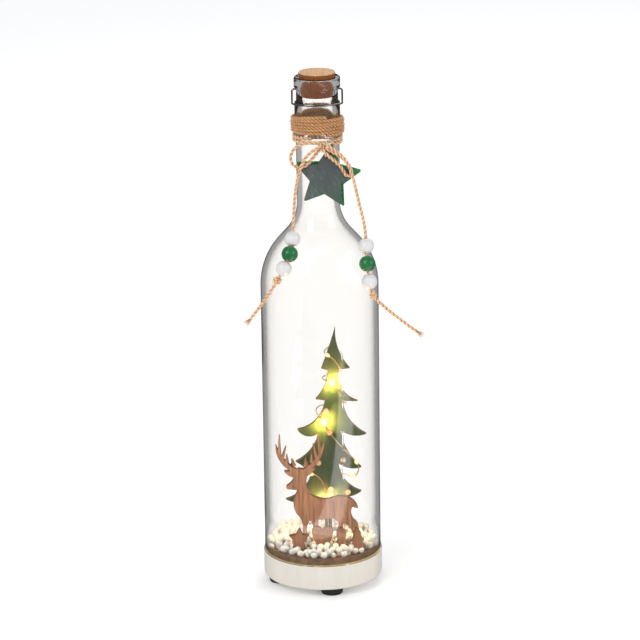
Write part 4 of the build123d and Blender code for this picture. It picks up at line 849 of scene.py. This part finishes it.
# The lamps shine straight through the glass, with a slight loss.
clear = result(tree, "ShaderNodeBsdfTransparent", {"Color": (0.93, 0.94, 0.935)})
lamp_ray = add(tree, "ShaderNodeLightPath").outputs["Is Shadow Ray"]
both_ways = result(tree, "ShaderNodeMixShader", {0: lamp_ray, 1: shader.outputs["BSDF"], 2: clear})
feed(tree, out.inputs["Surface"], both_ways)
dress(lathe("bottle_glass_clear", glass_outline, 160, material), "bottle_glass")

# Cork: a tapered natural cork pressed into the mouth, its top pale and its side dark, with fine cells in it and
# larger pits.
PALE_TOP_HEIGHTS = (0.33365, 0.33405)
material, tree, shader, _ = new_material("cork_bark", Roughness=0.85)
where = object_place(tree)
inputs = {"Vector": vector_math(tree, "MULTIPLY", where, (1.0, 1.0, 0.7)), "Scale": 620.0}
pits = result(tree, "ShaderNodeTexVoronoi", inputs, feature="DISTANCE_TO_EDGE")
cells = noise(tree, where, 1500.0, 4.0, 0.65)
side_tone = mixed(tree, cells, (0.11, 0.026, 0.003), (0.44, 0.13, 0.016))
top_tone = mixed(tree, cells, (0.72, 0.40, 0.20), (0.96, 0.64, 0.36))
tone = mixed(tree, ranged(tree, split(tree, where)["Z"], *PALE_TOP_HEIGHTS), side_tone, top_tone)
pitted = mixed(tree, ranged(tree, pits, 0.0, 0.12, 0.55, 0.0), tone, (0.13, 0.055, 0.03))
surface(tree, shader, pitted, math_node(tree, "ADD", ranged(tree, pits, 0.0, 0.15), cells), 0.5, 0.0003)

cork_bottom, cork_top = (corner.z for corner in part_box("cork_stopper"))
CORK_TOP_RADIUS, CORK_BOTTOM_RADIUS = 0.01155, 0.00985
BOTTOM_ROUND, TOP_ROUND = 0.0004, 0.0006
CAP_STEPS, CORK_SIDE_STEPS = 5, 22
cork_outline = [(CORK_BOTTOM_RADIUS * k / CAP_STEPS, cork_bottom) for k in range(CAP_STEPS)]
cork_outline += arc((CORK_BOTTOM_RADIUS - BOTTOM_ROUND, cork_bottom + BOTTOM_ROUND), BOTTOM_ROUND, -90, 0, 3)
for k in range(1, CORK_SIDE_STEPS):
    share_up = k / CORK_SIDE_STEPS
    cork_outline.append((
        CORK_BOTTOM_RADIUS + (CORK_TOP_RADIUS - CORK_BOTTOM_RADIUS) * share_up,
        cork_bottom + BOTTOM_ROUND + (cork_top - cork_bottom - BOTTOM_ROUND - TOP_ROUND) * share_up,
    ))
cork_outline += arc((CORK_TOP_RADIUS - TOP_ROUND, cork_top - TOP_ROUND), TOP_ROUND, 0, 90, 4)
cork_outline += [(CORK_TOP_RADIUS * (CAP_STEPS - k) / CAP_STEPS, cork_top) for k in range(1, CAP_STEPS + 1)]
cork = lathe("cork", cork_outline, 96, material, closed=False)

SIDE_PITS, TOP_PITS, PIT_DEPTH = 150, 60, 0.0002
SIDE_PIT_RADIUS, TOP_PIT_RADIUS = 0.011, 0.0108
pick = random.Random(17)
pit_places = []
for _ in range(SIDE_PITS):
    angle = pick.uniform(0, math.tau)
    height = pick.uniform(cork_bottom, cork_top)
    pit_centre = Vector((math.cos(angle) * SIDE_PIT_RADIUS, math.sin(angle) * SIDE_PIT_RADIUS, height))
    pit_places.append((pit_centre, pick.uniform(0.0003, 0.0009)))
for _ in range(TOP_PITS):
    reach, angle = TOP_PIT_RADIUS * math.sqrt(pick.random()), pick.uniform(0, math.tau)
    pit_centre = Vector((math.cos(angle) * reach, math.sin(angle) * reach, cork_top))
    pit_places.append((pit_centre, pick.uniform(0.0003, 0.0008)))
for vertex in cork.data.vertices:
    for pit_centre, size in pit_places:
        far = (vertex.co - pit_centre).length
        if far < size:
            vertex.co -= vertex.normal * PIT_DEPTH * (1 - far / size)
dress(cork, "cork_stopper", "cork")

# Wire lever: one steel wire bent to shape, whose ends snap into two dimples in the groove under the lip.
# It keeps its CAD shape.
finish_nodes(mottled("steel_wire", (0.40, 0.41, 0.41), 0.22, 2200.0, 0.25, 0.2, Metallic=1.0), "wire_lever")


# Jute wrap: brown two-ply twine wound round the collar under the lip in six close turns, and glued. The turns
# lie a little unevenly, and lower at the back.
tree, given, out = new_group(
    "fibre streaks",
    "ShaderNodeTree",
    {"Vector": "Vector", "Light": "Color", "Dark": "Color"},
    {"Colour": "Color", "Height": "Float"},
)
streak = noise(tree, vector_math(tree, "MULTIPLY", given["Vector"], (1.0, 1.0, 0.12)), 5200.0, 3.0, 0.65)
tone = weighed(tree, streak, 0.75, noise(tree, given["Vector"], 60.0), 0.35)
colour = mixed(tree, ranged(tree, tone, 0.32, 0.76), given["Dark"], given["Light"])
fibre_group = finish_group(tree, out, {"Colour": colour, "Height": streak})


def jute_material(name, light, dark, groove_radius=None, crest_radius=None):
    """Jute: streaks along each ply, paler and darker patches along the rope, and painted shade between the plies.
    Where it is wound round the bottle, painted shade darkens the grooves between its turns too."""
    material, tree, shader, _ = new_material(name, Roughness=0.88, Sheen_Weight=0.35, Sheen_Roughness=0.5)
    inputs = {"Vector": attribute(tree, "lay", "Vector"), "Light": light, "Dark": dark}
    fibres = add(tree, "ShaderNodeGroup", inputs, node_tree=fibre_group).outputs
    # Painted shade: the colour darkens where the plies face each other, read from the crest that the rope carries.
    colour = scaled(tree, fibres["Colour"], ranged(tree, attribute(tree, "crest"), -0.6, 0.6, 0.36, 1.0))
    if groove_radius:
        # Painted shade: the twine darkens toward the bottle's axis, in the grooves between its turns.
        reach = from_axis(tree, object_place(tree))
        colour = scaled(tree, colour, ranged(tree, reach, groove_radius, crest_radius, 0.55, 1.0))
    surface(tree, shader, colour, fibres["Height"], 0.9, 0.0003)
    return material


def helix_points(radius, bottom, rise, start_deg, turn_deg, count):
    """Points round the bottle's axis that climb as they turn."""
    points = []
    for index in range(count + 1):
        share = index / count
        angle = math.radians(start_deg + turn_deg * share)
        points.append(Vector((radius * math.cos(angle), radius * math.sin(angle), bottom + rise * share)))
    return points


WRAP_TWINE, WRAP_LAY = 0.0021, 0.0046
WRAP_RADIUS, WRAP_PITCH = 0.01545, 0.00192
WRAP_TURNS, POINTS_A_TURN, WRAP_START_DEG = 6, 24, -70.0
WRAP_REACH, BACK_SAG, BACK_SAG_GROWTH = 0.0155, 0.0008, 0.0031
wrap_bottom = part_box("jute_wrap")[0].z + WRAP_TWINE / 2 - 0.0002
wrap_points = helix_points(
    WRAP_RADIUS, wrap_bottom, WRAP_TURNS * WRAP_PITCH, WRAP_START_DEG, WRAP_TURNS * 360.0, WRAP_TURNS * POINTS_A_TURN
)
for index, point in enumerate(wrap_points):
    turned = index * math.tau / POINTS_A_TURN
    swell = 1 + 0.007 * math.sin(turned * 2.3) + 0.006 * math.sin(turned * 5.1 + 1)
    lift = 0.00016 * math.sin(turned * 1.7) + 0.00012 * math.sin(turned * 3.9 + 2)
    behind = (1 + point.y / WRAP_REACH) / 2
    lift -= behind * (BACK_SAG + BACK_SAG_GROWTH * index / len(wrap_points))
    wrap_points[index] = Vector((point.x * swell, point.y * swell, point.z + lift))
# The last two numbers are the radii over which painted shade fades out of the grooves between the turns.
brown_jute = jute_material("brown_jute", (0.92, 0.50, 0.21), (0.46, 0.18, 0.045), 0.0152, 0.0162)
fixed_rope(
    "jute_wrap_twine",
    "jute_wrap",
    wrap_points,
    "brown_jute",
    WRAP_TWINE,
    WRAP_LAY,
    brown_jute,
    21,
    fibres=9e5,
    fibre_length=0.0019,
    sides=9,
)

# Bow: pale two-ply jute rope of 2 mm that goes twice round the neck and is tied at the front, with two loops
# and two tails that hang over the shoulder. Each tail ends in a knot below its beads and in a frayed tip.
ROPE_DIAMETER, ROPE_LAY = 0.002, 0.0062
TURNS_RADIUS, TURNS_BOTTOM, TURNS_PITCH = 0.01495, 0.290218, 0.0024
TURNS_START_DEG, TURNS_DEG, TURNS_STEPS = -56.0, 671.6, 44
LOOP_LEFT_ROUTE = metres([
    (0.8, -18.2, 292.8), (-2.8, -18.8, 293.5), (-8.6, -19.0, 293.2), (-13.8, -18.6, 290.9),
    (-17.0, -18.8, 286.2), (-16.7, -20.0, 281.2), (-13.2, -20.7, 278.0), (-8.6, -20.8, 278.7),
    (-4.6, -20.7, 282.3), (-1.4, -20.0, 286.2), (1.3, -18.3, 289.2),
])
LOOP_RIGHT_ROUTE = metres([
    (2.6, -20.3, 289.7), (5.2, -22.3, 287.1), (8.6, -22.2, 284.1), (11.9, -21.4, 281.2), (15.2, -20.8, 277.2),
    (17.0, -20.8, 273.0), (20.0, -20.8, 272.3), (21.0, -20.8, 275.4), (19.2, -20.8, 279.8),
    (15.0, -21.0, 284.4), (9.8, -21.2, 287.7), (4.5, -20.3, 290.2),
])
TAIL_LEFT_ROUTE = metres([
    (1.4, -20.2, 291.0), (-3.4, -22.5, 289.2), (-8.3, -23.2, 284.6), (-11.2, -23.2, 277.6),
    (-13.4, -22.2, 269.4), (-14.5, -20.8, 260.4), (-15.4, -20.7, 250.6), (-16.0, -21.4, 237.9),
    (-16.9, -26.3, 229.3), (-19.5, -31.6, 221.2), (-24.5, -32.3, 212.4), (-27.8, -31.2, 206.2),
    (-31.6, -29.4, 199.6), (-36.4, -27.4, 192.3), (-40.2, -26.2, 186.8), (-43.2, -25.4, 182.8),
])
TAIL_RIGHT_ROUTE = metres([
    (4.2, -19.0, 293.4), (9.4, -23.0, 290.2), (14.6, -23.3, 286.6), (18.8, -23.3, 280.6),
    (21.4, -22.8, 272.8), (23.4, -21.2, 263.6), (25.4, -20.6, 253.8), (28.0, -20.0, 243.6),
    (29.3, -19.6, 233.2), (29.5, -21.9, 222.2), (30.4, -26.7, 211.9), (31.7, -29.4, 201.2),
    (34.8, -29.2, 195.4), (41.0, -27.8, 189.3), (47.2, -26.4, 183.5), (53.8, -25.2, 177.9),
    (60.4, -24.2, 172.6),
])
TUFT_FIBRES, TUFT_LENGTH, TUFT_SPREAD, TUFT_FIBRE_RADIUS = 44, 0.0072, 0.0029, 0.00014
TUFT_ROOT_SPREAD, TUFT_SUNK = 0.0007, 0.0008
KNOT_STEPS, KNOT_CLOSED_SHARE, KNOT_FLATNESS, KNOT_SWELL = 26, 0.985, 0.55, 1.12
light_jute = jute_material("light_jute", (1.0, 0.72, 0.44), (0.80, 0.38, 0.16))


def tuft(name, end, way, seed):
    """The frayed end of a rope: bent fibres that fan out."""
    pick = random.Random(seed)
    bm = bmesh.new()
    first_side = way.orthogonal().normalized()
    second_side = way.cross(first_side)
    corners = [first_side * math.cos(k * math.tau / 3) + second_side * math.sin(k * math.tau / 3) for k in range(3)]
    for _ in range(TUFT_FIBRES):
        lean = pick.uniform(0, math.tau)
        out_way = first_side * math.cos(lean) + second_side * math.sin(lean)
        reach = TUFT_LENGTH * pick.uniform(0.45, 1.0)
        fan = TUFT_SPREAD * pick.uniform(0.1, 1.0)
        root = end + out_way * pick.uniform(0, TUFT_ROOT_SPREAD) - way * TUFT_SUNK
        rings = []
        for share in (0.0, 1 / 3, 2 / 3, 1.0):
            centre = root + way * reach * share + out_way * fan * share * share
            size = TUFT_FIBRE_RADIUS * (1 - 0.7 * share)
            rings.append([bm.verts.new(centre + corner * size) for corner in corners])
        bm.faces.new(rings[0][::-1])
        for lower, upper in zip(rings, rings[1:]):
            bridge(bm, lower, upper)
        bm.faces.new(rings[-1])
    return solid(name, bm, light_jute)


def bow_cord(node, route, seed, frayed):
    """One loop or tail of the bow, with its loose fibres and, where it is frayed, its frayed tip."""
    name = f"{node}_rope"
    curve = spline_curve(name, route)
    line = [vertex.co.copy() for vertex in evaluated_mesh(curve).vertices]
    bpy.data.objects.remove(curve)
    piece, fuzz = rope(name, route, ROPE_DIAMETER, ROPE_LAY, light_jute, seed)
    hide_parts(node)
    loose = [fuzz]
    if frayed:
        loose.append(tuft(f"{node}_fray", line[-1], (line[-1] - line[-3]).normalized(), seed))
    for part in (piece, *loose):
        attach(part, "lamp")


def overhand_knot(node, centre, way, outer, diameter, seed):
    """An overhand knot, its rope on a closed three-lobed path that is left open at one place."""
    radius = outer / 2 - diameter / 2
    across = way.orthogonal().normalized()
    up = way.cross(across).normalized()
    points = []
    for index in range(KNOT_STEPS + 1):
        t = math.tau * (index / KNOT_STEPS) * KNOT_CLOSED_SHARE
        x = (math.sin(t) + 2 * math.sin(2 * t)) / 3
        y = (math.cos(t) - 2 * math.cos(2 * t)) / 3
        z = -math.sin(3 * t) * KNOT_FLATNESS
        points.append(centre + (across * x + up * y + way.normalized() * z) * radius)
    fixed_rope(f"{node}_rope", node, points, "light_jute", diameter, ROPE_LAY, light_jute, seed)


turn_points = helix_points(
    TURNS_RADIUS, TURNS_BOTTOM, TURNS_PITCH * TURNS_DEG / 360, TURNS_START_DEG, TURNS_DEG, TURNS_STEPS
)
fixed_rope(
    "bow_neck_turn_rope", "bow_neck_turn", turn_points, "light_jute", ROPE_DIAMETER, ROPE_LAY, light_jute, 11
)
knot_low, knot_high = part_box("bow_knot")
knot_way = Vector((0.25, -1, 0.1))
overhand_knot("bow_knot", (knot_low + knot_high) / 2, knot_way, outer=0.0066, diameter=0.0021, seed=5)
bow_cord("bow_loop_left", LOOP_LEFT_ROUTE, 13, False)
bow_cord("bow_loop_right", LOOP_RIGHT_ROUTE, 4, False)
for side_name, route, seed, knot_run, knot_size in (
    ("left", TAIL_LEFT_ROUTE, 6, 10, 0.0056),
    ("right", TAIL_RIGHT_ROUTE, 8, 11, 0.0050),
):
    knot = f"tail_knot_{side_name}"
    before, after = route[knot_run], route[knot_run + 1]
    outer = knot_size * KNOT_SWELL
    overhand_knot(knot, (before + after) / 2, after - before, outer, diameter=0.0019, seed=knot_run)
    bow_cord(f"tail_{side_name}", route, seed, True)

# Beads: turned wooden balls threaded on the tails, white, green and white on each, dipped in paint that lets the
# grain just show.
for side_name in ("left", "right"):
    for place_name in ("upper", "middle", "lower"):
        bead = f"bead_{side_name}_{place_name}"
        light, dark = (0.79, 0.78, 0.785), (0.72, 0.705, 0.70)
        if place_name == "middle":
            light, dark = (0.012, 0.215, 0.062), (0.006, 0.13, 0.036)
        material, tree, shader, _ = new_material(
            f"{bead}_paint", Roughness=0.36, Coat_Weight=0.35, Coat_Roughness=0.25
        )
        wood = grained(tree, object_place(tree), light, dark, 420.0, 2600.0)
        surface(tree, shader, wood["Colour"], wood["Pores"], 0.12)
        finish_nodes(material, bead)

# Stars: two boards on a loop of thin jute twine that goes from the bow's knot through a hole in each. The back
# one is covered in green glitter. The front one is painted slate grey, with a green rim and faint chalk smudges.
STRING_ROUTE = metres([
    (2.8, -18.2, 289.9), (5.3, -20.15, 288.0), (5.3, -20.15, 284.7), (5.3, -14.15, 284.7), (5.3, -14.15, 288.0),
    (2.8, -15.2, 289.9),
])
fixed_rope("star_string_rope", "star_string", STRING_ROUTE, "light_jute", 0.0011, 0.0035, light_jute, 12)

material, tree, shader, _ = new_material("glitter_paint", Metallic=0.35)
flakes = add(tree, "ShaderNodeTexVoronoi", {"Vector": object_place(tree), "Scale": 1900.0})
flake_tone = add(tree, "ShaderNodeSeparateColor", {"Color": flakes.outputs["Color"]}).outputs
feed(tree, shader.inputs["Roughness"], ranged(tree, flake_tone["Green"], 0.0, 1.0, 0.15, 0.6))
glitter_colour = mixed(tree, flake_tone["Red"], (0.015, 0.10, 0.035), (0.10, 0.55, 0.20))
surface(tree, shader, glitter_colour, flake_tone["Blue"], 0.9, 0.0003)
dress(cut_board("glitter_star", 0.0004, material), "glitter_star", "back_star")

GREEN_HEIGHTS = (0.249, 0.272)
material, tree, shader, _ = new_material("slate_paint", Roughness=0.75)
where = object_place(tree)
slanted = result(tree, "ShaderNodeMapping", {"Vector": where, "Rotation": (0, 0.5, 0)})
strokes = noise(tree, vector_math(tree, "MULTIPLY", slanted, (1.0, 1.0, 0.12)), 1500.0, 3.0)
smudge = ranged(tree, noise(tree, where, 70.0, 4.0, 0.6), 0.5, 0.75)
chalk = times(tree, smudge, ranged(tree, strokes, 0.42, 0.75, 0.0, 0.55))
slate = mixed(tree, noise(tree, where, 900.0, 3.0), (0.055, 0.07, 0.074), (0.085, 0.10, 0.105))
low = ranged(tree, split(tree, where)["Z"], *GREEN_HEIGHTS, 0.8, 0.0)
slate = mixed(tree, low, slate, (0.055, 0.125, 0.075))
slate = mixed(tree, ranged(tree, attribute(tree, "burn"), 0.35, 1.0), slate, (0.04, 0.13, 0.07))
surface(tree, shader, mixed(tree, chalk, slate, (0.33, 0.36, 0.35)), strokes, 0.12)
dress(cut_board("chalk_star", 0.0005, material), "chalk_star", "front_star")


# Table, light and camera: a pale table in a white surround, under three soft lamps. Seen straight through glass
# the surround is white, mirrored in glass or metal it is dim, and a bright patch of the table that only reflections
# see paints a pale reflection over the boards.
tree, given, out = new_group(
    "studio surround",
    "ShaderNodeTree",
    {"Reflections": "Float", "Passages": "Float", "Scatters": "Float"},
    {"Level": "Float"},
)
mirrored, passed, scattered = (
    math_node(tree, "MINIMUM", given[label], 1.0) for label in ("Reflections", "Passages", "Scatters")
)
inputs = {"Factor": mirrored, 2: 1.16, 3: ranged(tree, passed, 0.0, 1.0, 0.14, 0.42)}
level = result(tree, "ShaderNodeMix", inputs, data_type="FLOAT")
level = result(tree, "ShaderNodeMix", {"Factor": scattered, 2: level, 3: 0.55}, data_type="FLOAT")
surround_group = finish_group(tree, out, {"Level": level})


def surround(tree):
    """Whether a ray has met glass or metal, the surround's light for it, and the ray's own facts."""
    path = add(tree, "ShaderNodeLightPath").outputs
    inputs = {
        "Reflections": path["Glossy Depth"],
        "Passages": path["Transmission Depth"],
        "Scatters": path["Diffuse Depth"],
    }
    level = result(tree, "ShaderNodeGroup", inputs, node_tree=surround_group)
    return math_node(tree, "MAXIMUM", path["Is Glossy Ray"], path["Is Transmission Ray"]), level, path


STUDIO_WHITE = (1.0, 0.97, 0.95)
TABLE_REACH = 6.0
REFLECTION_PATCH_EDGES = (((0.5582, 0.8297, 0.0), 0.1668), ((-0.0959, -0.9954, 0.0), -0.1297), ((-1.0, 0.0, 0.0), 0.37))
REFLECTION_PATCH_LEVEL, REFLECTION_PATCH_EDGE_WIDTH = 2.4, 0.005
material, tree, shader, out = new_material(
    "studio_floor", Base_Color=(0.93, 0.93, 0.93), Roughness=0.9, Emission_Color=(1, 1, 1)
)
where = object_place(tree)
glow = ranged(tree, vector_math(tree, "LENGTH", where), 0.4, 3.0, 0.16, 0.42)
feed(tree, shader.inputs["Emission Strength"], glow)
met_glass, level, path = surround(tree)
# Painted reflection: inside these edges the table shines brightly, but only for rays that have come off glass or
# gloss, so it lays a pale veil over the boards.
reflection_patch = math_node(tree, "MINIMUM", path["Glossy Depth"], 1.0)
reflection_patch = times(tree, reflection_patch, ranged(tree, path["Diffuse Depth"], 0.0, 1.0, 1.0, 0.0))
for edge_way, edge_reach in REFLECTION_PATCH_EDGES:
    inside = math_node(tree, "ADD", vector_math(tree, "DOT_PRODUCT", where, edge_way), edge_reach)
    reflection_patch = times(tree, reflection_patch, ranged(tree, inside, 0.0, REFLECTION_PATCH_EDGE_WIDTH))
level = math_node(tree, "MAXIMUM", level, times(tree, reflection_patch, REFLECTION_PATCH_LEVEL))
in_glass = result(tree, "ShaderNodeEmission", {"Color": STUDIO_WHITE, "Strength": level})
both = result(tree, "ShaderNodeMixShader", {0: met_glass, 1: shader.outputs["BSDF"], 2: in_glass})
feed(tree, out.inputs["Surface"], both)
mesh = bpy.data.meshes.new("studio_floor")
table_corners = [(x * TABLE_REACH, y * TABLE_REACH, 0) for x, y in ((-1, -1), (1, -1), (1, 1), (-1, 1))]
mesh.from_pydata(table_corners, [], [(0, 1, 2, 3)])
scene_object("studio_floor", mesh, material)

world = bpy.data.worlds.new("studio")
scene.world = world
world.use_nodes = True
tree = world.node_tree
tree.nodes.clear()
met_glass, level, _ = surround(tree)
plain = result(tree, "ShaderNodeBackground", {"Color": (0.97, 0.98, 1.0), "Strength": 0.62})
in_glass = result(tree, "ShaderNodeBackground", {"Color": STUDIO_WHITE, "Strength": level})
sky = result(tree, "ShaderNodeMixShader", {0: met_glass, 1: plain, 2: in_glass})
add(tree, "ShaderNodeOutputWorld", {"Surface": sky})

LAMP_TARGET = Vector((0, 0, 0.15))
for name, place, size, watts in (
    ("key", (-1.0, -1.1, 1.3), 0.9, 12.0),
    ("fill", (1.3, -0.7, 0.9), 0.9, 6.0),
    ("back", (0.4, 1.3, 1.2), 0.8, 6.0),
):
    lamp_data = bpy.data.lights.new(name, "AREA")
    lamp_data.shape = "SQUARE"
    lamp_data.size = size
    lamp_data.energy = watts
    lamp = scene_object(name, lamp_data)
    lamp.visible_transmission = False
    aim = (LAMP_TARGET - Vector(place)).to_track_quat("-Z", "Y")
    lamp.matrix_world = Matrix.Translation(place) @ aim.to_matrix().to_4x4()

# The camera stands 2 m in front and 0.78 m up, and looks down through a long lens, rolled slightly.
CAMERA_DISTANCE, CAMERA_HEIGHT = 2.0, 0.7765
CAMERA_PITCH_DEG, CAMERA_ROLL_DEG = 16.776, -0.76
camera_data = bpy.data.cameras.new("camera")
camera_data.lens = 185.65
camera_data.sensor_width = 36.0
camera_data.clip_start = 0.01
camera = scene_object("camera", camera_data)
camera.matrix_world = (
    Matrix.Translation((0, -CAMERA_DISTANCE, CAMERA_HEIGHT))
    @ Matrix.Rotation(math.radians(90 - CAMERA_PITCH_DEG), 4, "X")
    @ Matrix.Rotation(math.radians(CAMERA_ROLL_DEG), 4, "Z")
)
scene.camera = camera
scene.view_settings.view_transform = "Standard"
